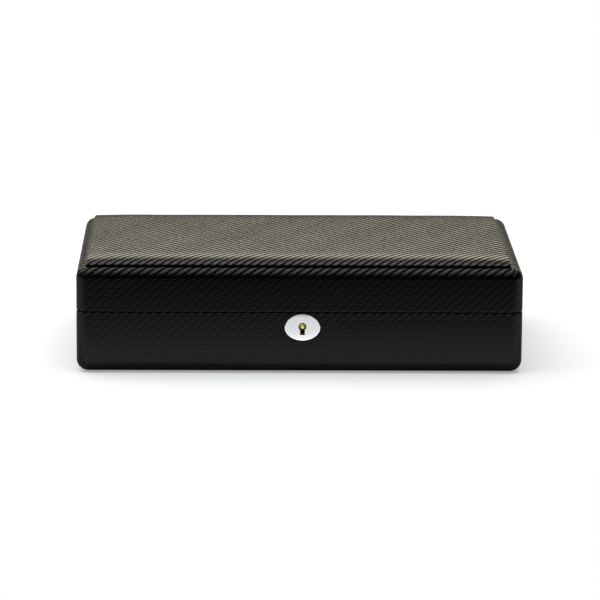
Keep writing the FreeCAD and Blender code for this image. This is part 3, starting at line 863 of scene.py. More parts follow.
def carve(piece: bpy.types.Object, cutters: Sequence[bmesh.types.BMesh]) -> None:
    """Cut shapes out of a piece and keep the result as its plain mesh.

    Args:
        piece: The piece.
        cutters: The shapes, which are used up.
    """
    for cutter in cutters:
        tool_mesh = bpy.data.meshes.new("cutter")
        cutter.to_mesh(tool_mesh)
        cutter.free()
        tool = put("cutter", tool_mesh)
        modifier = piece.modifiers.new("cut", "BOOLEAN")
        modifier.operation = "DIFFERENCE"
        modifier.solver = "EXACT"
        modifier.object = tool
        settle(piece)
        bpy.data.objects.remove(tool)
        bpy.data.meshes.remove(tool_mesh)
    smooth(piece.data)


def settle(piece: bpy.types.Object) -> None:
    """Turn a piece and its modifiers into a plain mesh.

    Args:
        piece: The piece.
    """
    graph = bpy.context.evaluated_depsgraph_get()
    mesh = bpy.data.meshes.new_from_object(piece.evaluated_get(graph), depsgraph=graph)
    piece.modifiers.clear()
    old = piece.data
    mesh.name = piece.name
    piece.data = mesh
    bpy.data.meshes.remove(old)


def node_box(node: str) -> tuple[Vector, Vector]:
    """Return the lowest and highest corner of a node of the frame."""
    low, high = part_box(node)
    return Vector(low), Vector(high)


Frame = dict[str, bpy.types.Object]


def stand_for(
    piece: bpy.types.Object, finishes: Finishes, slot: Slot, body: Body, *nodes: str
) -> bpy.types.Object:
    """Dress a piece, let it ride on a body and stand for nodes of the frame.

    Args:
        piece: The piece.
        finishes: The materials.
        slot: Its material slot.
        body: The body that it rides on.
        nodes: The nodes that it replaces.

    Returns:
        The same piece.
    """
    finishes.dress(piece, slot)
    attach(piece, body.value)
    if nodes:
        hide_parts(*nodes)
    return piece


@dataclass
class Shell:
    """A leatherette skin swept round the box, over its edges and onto its rim."""

    finishes: Finishes
    body: Body
    rim_plate: str
    edge_radius: float
    lap: float
    plate_room: float = 0.0
    corner_radius: float = 0.009
    rim_radius: float = 0.001
    skin: float = 0.0008
    edge_steps: int = 12
    rim_steps: int = 5
    cut_margin: float = 0.002
    leaf_thickness: float = 0.001
    leaf_clearance: float = 0.0002
    plate_thickness: float = 0.0012

    @property
    def node(self) -> str:
        """The node of the frame that the skin stands for."""
        return f"{self.body.value}_wrap"

    @property
    def rim_on_top(self) -> bool:
        """Whether the rim is at the top, as on the base."""
        return self.body is Body.BASE

    def end(self, on_top: bool) -> tuple[list[ProfilePoint], list[ProfilePoint]]:
        """Turn the skin inwards at the top or at the bottom of the walls.

        Args:
            on_top: Whether it is the top.

        Returns:
            The points of the outside and those of the inside, both in the order of the outside.
        """
        low, high = node_box(self.node)
        level, inwards, start = (high.z, -1.0, 0.0) if on_top else (low.z, 1.0, -90.0)
        inner_level = level + inwards * self.skin
        if on_top == self.rim_on_top:
            reach = node_box(f"{self.body.value}_left_wall")[1].x - low.x
            middle = level + inwards * self.rim_radius
            outside = quarter_arc(self.rim_radius, middle, self.rim_radius, start, self.rim_steps)
            inside = [(self.skin, inner_level)]
        else:
            reach = self.lap
            radius = self.edge_radius
            middle = level + inwards * radius
            outside = quarter_arc(radius, middle, radius, start, self.edge_steps)
            inside = quarter_arc(radius, middle, radius - self.skin, start, self.edge_steps)
        for points, height in ((outside, level), (inside, inner_level)):
            points.insert(len(points) if on_top else 0, (reach, height))
        return outside, inside

    def profile(self) -> list[ProfilePoint]:
        """Return the closed profile of the skin, up its outside and back down its inside."""
        foot_outside, foot_inside = self.end(on_top=False)
        head_outside, head_inside = self.end(on_top=True)
        return foot_outside + head_outside + head_inside[::-1] + foot_inside[::-1]

    def bed(self, node: str, depth: float, room: float, back_room: float) -> bmesh.types.BMesh:
        """Return the cut for a metal piece that is let into the rim.

        Args:
            node: The node of the metal piece.
            depth: How deep it lies.
            room: Play round it.
            back_room: How much further the cut goes at the back.

        Returns:
            The cutter.
        """
        low, high = node_box(node)
        bottom, top = (corner.z for corner in node_box(self.node))
        if self.rim_on_top:
            low.z, high.z = top - depth, top + self.cut_margin
        else:
            low.z, high.z = bottom - self.cut_margin, bottom + depth
        play = Vector((room, room, 0.0))
        return block_cutter(low - play, high + play + Vector((0.0, back_room, 0.0)))

    def build(self, *cutters: bmesh.types.BMesh) -> bpy.types.Object:
        """Build the skin.

        Args:
            cutters: Cutters for further holes in it.

        Returns:
            The finished piece.
        """
        part = self.body.value
        low, high = node_box(self.node)
        outline = RoundedOutline(high.x - low.x, high.y - low.y, self.corner_radius)
        piece = outline.swept(self.profile()).piece(f"{part}_skin")
        leaves = [
            self.bed(f"hinge_{side}_{part}_leaf", self.leaf_thickness, self.leaf_clearance, 0.0)
            for side in ("left", "right")
        ]
        plate = self.bed(self.rim_plate, self.plate_thickness, 0.0, self.plate_room)
        carve(piece, [*cutters, *leaves, plate])
        even_normals(piece)
        return stand_for(piece, self.finishes, Slot.LEATHERETTE, self.body, self.node)


def even_normals(piece: bpy.types.Object) -> None:
    """Let the wide faces of a piece set its smooth normals."""
    modifier = piece.modifiers.new("normals", "WEIGHTED_NORMAL")
    modifier.keep_sharp = True
    settle(piece)


@dataclass
class BaseShell(Shell):
    """Skin of the base, turned in over the rim and under the bottom."""

    body: Body = Body.BASE
    rim_plate: str = "lock_case"
    edge_radius: float = 0.0086
    lap: float = 0.024
    plate_room: float = 0.002


@dataclass
class LidShell(Shell):
    """Skin of the lid, turned in over its rim and under the pad."""

    body: Body = Body.LID
    rim_plate: str = "keeper"
    edge_radius: float = 0.0078
    lap: float = 0.030


@dataclass
class LidPad:
    """Padded panel on the lid: leatherette drawn over foam, rolled round its edges."""

    finishes: Finishes
    front_roll: float = 0.028
    side_roll: float = 0.002
    height: float = 0.0058
    fullness: float = 2.5
    shoulder: float = 0.56
    side_shoulder: float = 1.0
    corner: float = 0.003
    end_fall: float = 0.0012
    end_power: int = 10
    bulge: float = 0.0012
    tuck: float = 0.0008
    ripple: float = 0.00009
    ripple_across: tuple[float, float] = (61.0, 1.3)
    ripple_along: tuple[float, float] = (47.0, 0.4)
    slant_ripple: tuple[float, float, float] = (0.6, 133.0, -90.0)
    length_steps: int = 24
    roll_steps: int = 14
    side_steps: int = 5
    columns: int = 72
    rows: int = 36
    fill: float = 0.7

    def grid_line(self, half: float, roll: float, stretches: int) -> list[float]:
        """Place the grid lines across one side: close over the rolled edges, even between them.

        Args:
            half: Half of the side.
            roll: Width of its rolled edges.
            stretches: Number of stretches between the rolls.

        Returns:
            The places from the lowest to the highest.
        """
        flat = half - roll
        turns = [math.sin(QUARTER_TURN * step / self.roll_steps) for step in range(1, self.roll_steps + 1)]
        outer = [flat + roll * turn for turn in turns]
        inner = [flat * (2 * step / stretches - 1) for step in range(stretches + 1)]
        return [-place for place in reversed(outer)] + inner + outer

    def fall(self, reach: float, shoulder: float) -> float:
        """Return the share of the height that is left on a roll.

        Args:
            reach: Share of the roll, from its top outwards.
            shoulder: How squarely the roll ends: less is squarer.

        Returns:
            The share.
        """
        return max(0.0, 1.0 - reach ** self.fullness) ** shoulder

    def roll_length(self, reach: float, roll: float, shoulder: float) -> float:
        """Return the length of skin over a roll, from its top outwards to a share of it.

        Args:
            reach: Share of the roll.
            roll: Width of the roll.
            shoulder: How squarely the roll ends.

        Returns:
            The length.
        """
        total = 0.0
        top = self.height - self.bulge
        last = (0.0, top)
        for step in range(1, self.length_steps + 1):
            share = reach * math.sin(QUARTER_TURN * step / self.length_steps)
            here = (roll * share, top * self.fall(share, shoulder))
            total += math.dist(last, here)
            last = here
        return total

    def laid(self, place: float, half: float, roll: float, shoulder: float) -> tuple[float, float]:
        """Lay a grid line over the pad.

        Args:
            place: Where it is.
            half: Half of the side.
            roll: Width of the side's rolled edges.
            shoulder: How squarely they end.

        Returns:
            The share of the height that is left there, and its place on the flat skin.
        """
        flat = half - roll
        reach = max(abs(place) - flat, 0.0) / roll
        skin = min(abs(place), flat) + self.roll_length(reach, roll, shoulder)
        return self.fall(reach, shoulder), math.copysign(skin, place)

    def plan(self, x: float, y: float, half: Vector) -> tuple[Vector, Vector]:
        """Round the corners of the flat grid.

        Args:
            x: Place across.
            y: Place along the depth.
            half: Half of the pad's width and depth.

        Returns:
            The rounded place, and the way outwards there.
        """
        over_x = max(abs(x) - half.x + self.corner, 0.0)
        over_y = max(abs(y) - half.y + self.corner, 0.0)
        over = Vector((over_x, over_y, 0.0))
        way = Vector((math.copysign(over.x, x), math.copysign(over.y, y), 0.0))
        inner = Vector((x, y, 0.0)) - way
        if over.length > 0.0:
            way *= max(over.x, over.y) / over.length
        return inner + way, way.normalized()

    def wave(self, x: float, y: float) -> float:
        """Return the ripple of the drawn skin at a place, as a share of its height.

        Args:
            x: Place across.
            y: Place along the depth.

        Returns:
            The share.
        """
        (rate_x, start_x), (rate_y, start_y) = self.ripple_across, self.ripple_along
        slant, slant_x, slant_y = self.slant_ripple
        broad = math.sin(rate_x * x + start_x) * math.sin(rate_y * y + start_y)
        return broad + slant * math.sin(slant_x * x + slant_y * y)

    def build(self) -> bpy.types.Object:
        """Build the pad.

        Returns:
            The finished piece.
        """
        low, high = node_box("pad_cover")
        foot = low.z
        half = (high - low) / 2
        middle = (low + high).to_2d().to_3d() / 2
        mesh = SkinMesh()
        laid: list[SkinPlace] = []
        ways: list[Vector] = []
        grid: list[list[int]] = []
        columns = [
            (x, *self.laid(x, half.x, self.side_roll, self.side_shoulder))
            for x in self.grid_line(half.x, self.side_roll, self.columns)
        ]
        for y in self.grid_line(half.y, self.front_roll, self.rows):
            share_y, skin_y = self.laid(y, half.y, self.front_roll, self.shoulder)
            row = []
            for x, share_x, skin_x in columns:
                place, way = self.plan(x, y, half)
                sunk = self.end_fall * (x / half.x) ** self.end_power
                rise = self.height - self.bulge - sunk + self.ripple * self.wave(x, y)
                place += middle
                place.z = foot + self.bulge + rise * share_x * share_y
                row.extend(mesh.ring([place]))
                laid.append((skin_x, skin_y))
                ways.append(way)
            grid.append(row)
        for lower, upper in zip(grid, grid[1:]):
            for here in range(len(lower) - 1):
                corners = (lower[here], lower[here + 1], upper[here + 1], upper[here])
                mesh.face(corners, [laid[corner] for corner in corners])
        right = [row[-1] for row in grid[:-1]]
        left = [row[0] for row in grid[:0:-1]]
        rim = grid[0][:-1] + right + grid[-1][:0:-1] + left
        self.add_side(mesh, rim, [laid[corner] for corner in rim], [ways[corner] for corner in rim], foot)
        piece = mesh.piece("lid_pad")
        even_normals(piece)
        stand_for(piece, self.finishes, Slot.PAD, Body.LID, "pad_cover", "pad_foam")
        return piece

    def add_side(
        self, mesh: SkinMesh, rim: list[int], skin: list[SkinPlace], ways: list[Vector], foot: float
    ) -> None:
        """Draw the pad in from its widest level to its foot, and close it underneath.

        Args:
            mesh: The pad so far.
            rim: The points round its widest level.
            skin: Their places on the laid-out skin.
            ways: The way outwards at each of them.
            foot: Level of the pad's foot.
        """
        top = [mesh.points[corner].copy() for corner in rim]
        ring, ring_skin = rim, [*skin, skin[0]]
        for step, (inwards, above) in enumerate(quarter_round(self.side_steps)[1:], start=1):
            fall = self.bulge * step / self.side_steps
            level = foot + self.bulge * above
            inner = [place - way * (self.tuck * inwards) for place, way in zip(top, ways)]
            below = mesh.ring([Vector((place.x, place.y, level)) for place in inner])
            below_skin = [(u + way.x * fall, v + way.y * fall) for (u, v), way in zip(skin, ways)]
            below_skin.append(below_skin[0])
            mesh.band(below, ring, below_skin, ring_skin)
            ring, ring_skin = below, below_skin
        mesh.face(ring[::-1], ring_skin[-2::-1])


@dataclass
class BoxLock:
    """Keyhole plate, keyhole and post of the lock in the front wall."""

    finishes: Finishes
    keyhole_drop: float = 0.0101
    keyhole_radius: float = 0.0028
    keyhole_slot: float = 0.0034
    keyhole_length: float = 0.0063
    keyhole_chamfer: float = 0.0002
    plate_bevel: float = 0.0004
    plate_dome: float = 0.00001
    dome_steps: int = 5
    cutter_reach: float = 0.003
    round_steps: int = 96
    least_angle: float = 0.01
    least_share: float = 1e-9
    bevel_steps: int = 6
    pin_steps: int = 32
    pin_easing: float = 0.3
    pin_bore: float = 0.42
    bore_tip: float = 0.125
    bore_taper: float = 0.5

    def plate_middle(self) -> Vector:
        """Return the middle of the plate's back."""
        low, high = node_box("escutcheon")
        return Vector(((low.x + high.x) / 2, high.y, (low.z + high.z) / 2))

    def lift(self) -> float:
        """Return how far the keyhole's round lies above the middle of the plate."""
        return node_box("base_wrap")[1].z - self.keyhole_drop - self.plate_middle().z

    def keyhole_reach(self, angle: float, lift: float) -> float:
        """Measure the keyhole from the middle of the plate.

        Args:
            angle: Direction, anticlockwise from the right.
            lift: How far the keyhole's round lies above the middle of the plate.

        Returns:
            The distance to the keyhole's edge.
        """
        across, up = math.cos(angle), math.sin(angle)
        in_round = lift * up + math.sqrt(self.keyhole_radius ** 2 - (lift * across) ** 2)
        drop = self.keyhole_length - lift
        to_side = self.keyhole_slot / 2 / max(abs(across), self.least_share)
        to_end = (lift if up > 0.0 else drop) / max(abs(up), self.least_share)
        return max(in_round, min(to_side, to_end))

    def directions(self, lift: float) -> list[float]:
        """Return the directions of the plate's points, with the corners of the keyhole among them.

        Args:
            lift: How far the keyhole's round lies above the middle of the plate.

        Returns:
            The angles, in rising order.
        """
        half = self.keyhole_slot / 2
        neck = lift - math.sqrt(self.keyhole_radius ** 2 - half ** 2)
        corners = [(side * half, level) for side in (-1, 1) for level in (neck, lift - self.keyhole_length)]
        angles = [math.atan2(z, x) % FULL_TURN for x, z in corners]
        even = [FULL_TURN * step / self.round_steps for step in range(self.round_steps)]
        apart = [angle for angle in even if min(abs(angle - other) for other in angles) > self.least_angle]
        return sorted(apart + angles)

    def keyhole_cutter(self) -> bmesh.types.BMesh:
        """Return the keyhole as a shape to cut the skin with."""
        middle = self.plate_middle()
        lift = self.lift()
        cutter = bmesh.new()
        corners = []
        for angle in self.directions(lift):
            place = spoke(angle, self.keyhole_reach(angle, lift), -self.cutter_reach)
            corners.append(cutter.verts.new(middle + place))
        face = cutter.faces.new(corners)
        spread = bmesh.ops.extrude_face_region(cutter, geom=[face])
        moved = [item for item in spread["geom"] if isinstance(item, bmesh.types.BMVert)]
        bmesh.ops.translate(cutter, verts=moved, vec=Vector((0.0, 2 * self.cutter_reach, 0.0)))
        bmesh.ops.recalc_face_normals(cutter, faces=cutter.faces)
        return cutter

    def plate(self) -> bpy.types.Object:
        """Build the oval plate with its rounded edge and eased keyhole.

        Returns:
            The finished piece.
        """
        low, high = node_box("escutcheon")
        half = (high - low) / 2
        middle = self.plate_middle()
        lift = self.lift()
        thickness = high.y - low.y - self.plate_dome
        angles = self.directions(lift)
        hole = [self.keyhole_reach(angle, lift) for angle in angles]

        def oval(inset: float) -> list[float]:
            """Return the distance to the oval, drawn in, in each direction."""
            wide, tall = half.x - inset, half.z - inset
            spans = [math.hypot(tall * math.cos(angle), wide * math.sin(angle)) for angle in angles]
            return [wide * tall / span for span in spans]

        rings: list[tuple[list[float], float]] = [(oval(0.0), 0.0)]
        for inwards, short in quarter_round(self.bevel_steps):
            rings.append((oval(self.plate_bevel * inwards), thickness - self.plate_bevel * short))
        face = oval(self.plate_bevel)
        for step in range(1, self.dome_steps + 1):
            share = step / self.dome_steps
            inner = [edge + (stop + self.keyhole_chamfer - edge) * share for edge, stop in zip(face, hole)]
            rings.append((inner, thickness + self.plate_dome * (1.0 - (1.0 - share) ** 2)))
        rings.append((hole, thickness + self.plate_dome - self.keyhole_chamfer))
        rings.append((hole, 0.0))
        mesh = SkinMesh()
        loops = []
        for reaches, stand in rings:
            places = [middle + spoke(angle, reach, -stand) for angle, reach in zip(angles, reaches)]
            loops.append(mesh.ring(places))
        for outer, inner in zip(loops, loops[1:] + loops[:1]):
            closed = [[mesh.points[corner] for corner in (*loop, loop[0])] for loop in (outer, inner)]
            skins = [[(place.x, place.z) for place in places] for places in closed]
            mesh.band(outer, inner, *skins)
        return self.finish(mesh.piece("keyhole_plate"), "escutcheon", Slot.PLATE)

    def pin(self) -> bpy.types.Object:
        """Turn the post that the key fits on, with a rounded tip that is drilled in its middle.

        Returns:
            The finished piece.
        """
        low, high = node_box("lock_drill_pin")
        middle = Vector(((low.x + high.x) / 2, 0.0, (low.z + high.z) / 2))
        radius = (high.x - low.x) / 2
        easing = radius * self.pin_easing
        bore = radius * self.pin_bore
        bore_end = low.y + radius
        profile = [(radius, high.y)]
        for inwards, short in quarter_round(self.bevel_steps):
            profile.append((radius - easing * inwards, low.y + easing * short))
        tip = (bore * self.bore_tip, bore_end + bore * self.bore_taper)
        profile += [(bore, low.y), (bore, bore_end), tip]
        mesh = SkinMesh()
        turns = [FULL_TURN * step / self.pin_steps for step in range(self.pin_steps)]
        loops = [mesh.ring([middle + spoke(turn, reach, y) for turn in turns]) for reach, y in profile]
        no_skin = [(0.0, 0.0)] * (len(turns) + 1)
        for lower, upper in zip(loops, loops[1:]):
            mesh.band(lower, upper, no_skin, no_skin)
        for cap in (loops[-1], loops[0][::-1]):
            mesh.face(cap, no_skin[1:])
        return self.finish(mesh.piece("lock_post"), "lock_drill_pin", Slot.BRASS)

    def finish(self, piece: bpy.types.Object, node: str, slot: Slot) -> bpy.types.Object:
        """Dress a piece of the lock and let it stand for its node.

        Args:
            piece: The piece.
            node: The node that it replaces.
            slot: Its material slot.

        Returns:
            The same piece.
        """
        even_normals(piece)
        return stand_for(piece, self.finishes, slot, Body.BASE, node)

    def build(self) -> list[bpy.types.Object]:
        """Build the plate and the post."""
        return [self.plate(), self.pin()]


@dataclass
class Tray:
    """Linings, dividers and felt: card and boards covered in cloth, with soft edges."""

    finishes: Finishes
    nodes: Frame
    slots: dict[str, Slot]
    edge: float = 0.0005
    segments: int = 2
    roundness: float = 0.5
    merge_distance: float = 1e-6
    flat_angle: float = math.radians(1)
    strip: float = 0.0003

    def softened(self, node: str) -> bpy.types.Object:
        """Copy a node of the frame with its sharp edges rounded.

        Args:
            node: The node.

        Returns:
            The new piece.
        """
        work = bmesh.new()
        work.from_mesh(self.nodes[node].data)
        bmesh.ops.remove_doubles(work, verts=work.verts, dist=self.merge_distance)
        bmesh.ops.dissolve_limit(work, angle_limit=self.flat_angle, verts=work.verts, edges=work.edges)
        steep = [edge for edge in work.edges if edge.is_manifold and edge.calc_face_angle() > SMOOTH_ANGLE]
        bmesh.ops.bevel(
            work, geom=steep, offset=self.edge, segments=self.segments, profile=self.roundness,
            affect="EDGES", clamp_overlap=True,
        )
        mesh = bpy.data.meshes.new(f"{node}_soft")
        work.to_mesh(mesh)
        work.free()
        return new_piece(f"{node}_soft", mesh)

    def wall_strip(self) -> bpy.types.Object:
        """Build the thin strip of lining on the lid's walls, from their turned-in skin to the liner.

        Returns:
            The finished piece.
        """
        low, high = node_box("lid_liner")
        bottom = node_box("lid_left_wall")[0].z
        outline = RoundedOutline(high.x - low.x, high.y - low.y, self.strip)
        profile = [(0.0, bottom), (0.0, low.z), (self.strip, low.z), (self.strip, bottom)]
        piece = outline.swept(profile).piece("lid_wall_strip")
        return stand_for(piece, self.finishes, Slot.LINING, Body.LID)

    def build(self) -> list[bpy.types.Object]:
        """Build the soft-edged linings.

        Returns:
            The finished pieces.
        """
        pieces = []
        for node, slot in self.slots.items():
            if slot in (Slot.LINING, Slot.FELT):
                piece = self.softened(node)
                even_normals(piece)
                body = Body.LID if node.startswith("lid_") else Body.BASE
                pieces.append(stand_for(piece, self.finishes, slot, body, node))
        pieces.append(self.wall_strip())
        return pieces


def grow(piece: bpy.types.Object, tree: bpy.types.NodeTree, values: dict[str, object]) -> None:
    """Run a geometry node tree on a piece and keep the result as its plain mesh.

    Args:
        piece: The piece whose mesh the tree starts from.
        tree: The tree.
        values: Values for its named inputs.
    """
    modifier = piece.modifiers.new("grow", "NODES")
    modifier.node_group = tree
    for socket in tree.interface.items_tree:
        if socket.item_type == "SOCKET" and socket.in_out == "INPUT" and socket.name in values:
            modifier[socket.identifier] = values[socket.name]
    settle(piece)
    smooth(piece.data)


def stitch_tree() -> bpy.types.NodeTree:
    """Build the tree that sews a row of stitches along the edges of a mesh.

    Returns:
        The tree.
    """
    wiring, source, result = node_group(
        "stitch_row",
        {
            "Seams": ("NodeSocketGeometry", None),
            "Spacing": ("NodeSocketFloat", 0.003),
            "Stitch": ("NodeSocketVector", None),
            "Thread": ("NodeSocketMaterial", None),
        },
        {"Geometry": "NodeSocketGeometry"},
        "GeometryNodeTree",
    )
    curve = wiring.add("GeometryNodeMeshToCurve", {"Mesh": source.outputs["Seams"]})
    evenly = wiring.add(
        "GeometryNodeResampleCurve",
        {"Curve": curve.outputs["Curve"], "Length": source.outputs["Spacing"]}, mode="LENGTH",
    )
    round_bead = {"Segments": 6, "Rings": 4, "Radius": 1.0}
    bead = wiring.add("GeometryNodeMeshUVSphere", round_bead)
    stitch = wiring.add(
        "GeometryNodeTransform", {"Geometry": bead.outputs["Mesh"], "Scale": source.outputs["Stitch"]}
    )
    along = wiring.add(
        "FunctionNodeAlignRotationToVector",
        {"Vector": wiring.add("GeometryNodeInputTangent").outputs["Tangent"]}, axis="X",
    )
    sewn = wiring.add(
        "GeometryNodeInstanceOnPoints",
        {
            "Points": evenly.outputs["Curve"], "Instance": stitch.outputs["Geometry"],
            "Rotation": along.outputs["Rotation"],
        },
    )
    real = wiring.add("GeometryNodeRealizeInstances", {"Geometry": sewn.outputs["Instances"]})
    thread = {"Geometry": real.outputs["Geometry"], "Material": source.outputs["Thread"]}
    dressed = wiring.add("GeometryNodeSetMaterial", thread)
    wiring.feed(result.inputs["Geometry"], dressed.outputs["Geometry"])
    return wiring.tree


@dataclass
class Pillows:
    """Twelve stuffed watch pillows, all from one that is blown up as cloth."""

    finishes: Finishes
    nodes: Frame
    start_share: float = 0.93
    voxel: float = 0.004
    pressure: float = 4.0
    frames: int = 20
    most_move: float = 0.006
    subdivisions: int = 1
    seam_share: float = 0.70
    seam_depth: float = 0.0013
    seam_width: float = 0.0028
    stitch_spacing: float = 0.0042
    stitch: tuple[float, float, float] = (0.0015, 0.0004, 0.0004)
    fill: float = 0.75

    def blown(self, node: str) -> bpy.types.Object:
        """Blow one pillow up as cloth, about the origin.

        Args:
            node: The node that it is made from.

        Returns:
            The pillow before its seams.
        """
        low, high = node_box(node)
        half = (high - low) / 2
        mesh = self.nodes[node].data.copy()
        mesh.transform(Matrix.Scale(self.start_share, 4) @ Matrix.Translation(-(low + high) / 2))
        mesh.materials.clear()
        piece = new_piece("pillow_form", mesh)
        remesh = piece.modifiers.new("remesh", "REMESH")
        remesh.mode = "VOXEL"
        remesh.voxel_size = self.voxel
        settle(piece)
        before = [point.co.copy() for point in piece.data.vertices]
        cloth = piece.modifiers.new("cloth", "CLOTH")
        cloth.settings.use_pressure = True
        cloth.settings.uniform_pressure_force = self.pressure
        cloth.settings.effector_weights.gravity = 0.0
        cloth.point_cache.frame_start = 1
        cloth.point_cache.frame_end = self.frames
        for moment in range(1, self.frames + 1):
            bpy.context.scene.frame_set(moment)
        settle(piece)
        bpy.context.scene.frame_set(1)
        for point, start in zip(piece.data.vertices, before):
            move = point.co - start
            if move.length > self.most_move:
                point.co = start + move.normalized() * self.most_move
        most = [max(abs(point.co[axis]) for point in piece.data.vertices) for axis in range(3)]
        piece.data.transform(Matrix.Diagonal((*(limit / reach for limit, reach in zip(half, most)), 1.0)))
        subdivision = piece.modifiers.new("subdivision", "SUBSURF")
        subdivision.levels = self.subdivisions
        subdivision.render_levels = self.subdivisions
        settle(piece)
        return piece

    def seamed(self, piece: bpy.types.Object, half_width: float) -> None:
        """Draw a seam in near each end of a pillow.

        Args:
            piece: The pillow, about the origin.
            half_width: Half of its width.
        """
        for point in piece.data.vertices:
            off = (abs(point.co.x) - self.seam_share * half_width) / self.seam_width
            inwards = Vector((0.0, point.co.y, point.co.z)).normalized()
            point.co -= inwards * self.seam_depth * math.exp(-off * off)
        smooth(piece.data)

    def seam_loops(self, piece: bpy.types.Object, half_width: float) -> tuple[list[Vector], list[Stretch]]:
        """Find the seams of a pillow.

        Args:
            piece: The pillow, about the origin.
            half_width: Half of its width.

        Returns:
            The points of its two seams, and the stretches between them.
        """
        points: list[Vector] = []
        stretches: list[Stretch] = []
        for side in (-1, 1):
            work = bmesh.new()
            work.from_mesh(piece.data)
            cut = bmesh.ops.bisect_plane(
                work, geom=[*work.verts, *work.edges, *work.faces],
                plane_co=(side * self.seam_share * half_width, 0.0, 0.0), plane_no=(1.0, 0.0, 0.0),
            )["geom_cut"]
            numbers = {}
            for item in cut:
                if isinstance(item, bmesh.types.BMVert):
                    numbers[item] = len(points)
                    points.append(item.co.copy())
            for item in cut:
                if isinstance(item, bmesh.types.BMEdge):
                    stretches.append((numbers[item.verts[0]], numbers[item.verts[1]]))
            work.free()
        return points, stretches

    def build(self) -> list[bpy.types.Object]:
        """Build the pillows and their stitches.

        Returns:
            The finished pieces.
        """
        names = sorted(node for node in self.nodes if node.startswith("watch_pillow_"))
        low, high = node_box(names[0])
        half_width = (high.x - low.x) / 2
        form = self.blown(names[0])
        self.seamed(form, half_width)
        loop_points, loop_stretches = self.seam_loops(form, half_width)
        pieces = []
        sewn_points: list[Vector] = []
        sewn_stretches: list[Stretch] = []
        for number, node in enumerate(names):
            low, high = node_box(node)
            turn = Matrix.Rotation(math.pi * (number % 2), 4, "Z")
            place = Matrix.Translation((low + high) / 2) @ turn
            mesh = form.data.copy()
            mesh.transform(place)
            mesh.name = f"pillow_{number + 1:02d}"
            piece = new_piece(mesh.name, mesh)
            stand_for(piece, self.finishes, Slot.PILLOW, Body.BASE, node)
            pieces.append(piece)
            first = len(sewn_points)
            sewn_points.extend(place @ point for point in loop_points)
            sewn_stretches.extend((start + first, end + first) for start, end in loop_stretches)
        bpy.data.objects.remove(form)
        mesh = bpy.data.meshes.new("pillow_stitches")
        mesh.from_pydata(sewn_points, sewn_stretches, [])
        stitches = put("pillow_stitches", mesh)
        sewing = {"Spacing": self.stitch_spacing, "Stitch": self.stitch}
        grow(stitches, stitch_tree(), {**sewing, "Thread": self.finishes.materials[Slot.PILLOW]})
        pieces.append(stand_for(stitches, self.finishes, Slot.PILLOW, Body.BASE))
        return pieces


def screw_tree() -> bpy.types.NodeTree:
    """Build the tree that sets a cross-headed countersunk screw at every point of a mesh.

    Returns:
        The tree.
    """
    wiring, source, result = node_group(
        "countersunk_screws",
        {
            "Places": ("NodeSocketGeometry", None),
            "Head Radius": ("NodeSocketFloat", 0.0017),
            "Head Height": ("NodeSocketFloat", 0.0008),
            "Shank Radius": ("NodeSocketFloat", 0.0008),
            "Shank Length": ("NodeSocketFloat", 0.0057),
            "Recess": ("NodeSocketVector", None),
            "Tilt": ("NodeSocketFloat", 0.0),
            "Seed": ("NodeSocketInt", 1),
            "Metal": ("NodeSocketMaterial", None),
        },
        {"Geometry": "NodeSocketGeometry"},
        "GeometryNodeTree",
    )
    sides = 24
    value = source.outputs
    head = wiring.add(
        "GeometryNodeMeshCone",
        {
            "Vertices": sides, "Radius Top": value["Head Radius"], "Radius Bottom": value["Shank Radius"],
            "Depth": value["Head Height"],
        },
    )
    shank = wiring.add(
        "GeometryNodeMeshCylinder",
        {"Vertices": sides, "Radius": value["Shank Radius"], "Depth": value["Shank Length"]},
    )
    bar = wiring.add("GeometryNodeMeshCube", {"Size": value["Recess"]})
    cross_bar = wiring.add(
        "GeometryNodeTransform", {"Geometry": bar.outputs["Mesh"], "Rotation": (0.0, 0.0, QUARTER_TURN)}
    )

    def raised(geometry: Socket, level: object) -> Socket:
        """Return the geometry moved up by a level."""
        shift = wiring.add("ShaderNodeCombineXYZ", {"Z": level}).outputs["Vector"]
        moved = wiring.add("GeometryNodeTransform", {"Geometry": geometry, "Translation": shift})
        return moved.outputs["Geometry"]

    sunk_head = raised(head.outputs["Mesh"], wiring.math("MULTIPLY", value["Head Height"], -1.0))
    recessed = wiring.add("GeometryNodeMeshBoolean", {"Mesh 1": sunk_head}, operation="DIFFERENCE")
    wiring.feed(recessed.inputs["Mesh 2"], bar.outputs["Mesh"])
    wiring.feed(recessed.inputs["Mesh 2"], cross_bar.outputs["Geometry"])
    half_shank = wiring.math("MULTIPLY", value["Shank Length"], -0.5)
    whole = wiring.add("GeometryNodeJoinGeometry", {"Geometry": recessed.outputs["Mesh"]})
    below = wiring.math("SUBTRACT", half_shank, value["Head Height"])
    wiring.feed(whole.inputs["Geometry"], raised(shank.outputs["Mesh"], below))
    tilt = wiring.add("ShaderNodeCombineXYZ", {"X": value["Tilt"]})
    facing = wiring.add(
        "GeometryNodeTransform", {"Geometry": whole.outputs["Geometry"], "Rotation": tilt.outputs["Vector"]}
    )
    turns = {"Max": QUARTER_TURN, "Seed": value["Seed"]}
    chance = wiring.add("FunctionNodeRandomValue", turns, data_type="FLOAT")
    spin = wiring.add("ShaderNodeCombineXYZ", {"Z": chance.outputs["Value"]})
    set_in = wiring.add(
        "GeometryNodeInstanceOnPoints", {"Points": value["Places"], "Instance": facing.outputs["Geometry"]}
    )
    wiring.feed(set_in.inputs["Rotation"], spin.outputs["Vector"])
    real = wiring.add("GeometryNodeRealizeInstances", {"Geometry": set_in.outputs["Instances"]})
    dressed = wiring.add(
        "GeometryNodeSetMaterial", {"Geometry": real.outputs["Geometry"], "Material": value["Metal"]}
    )
    wiring.feed(result.inputs["Geometry"], dressed.outputs["Geometry"])
    return wiring.tree


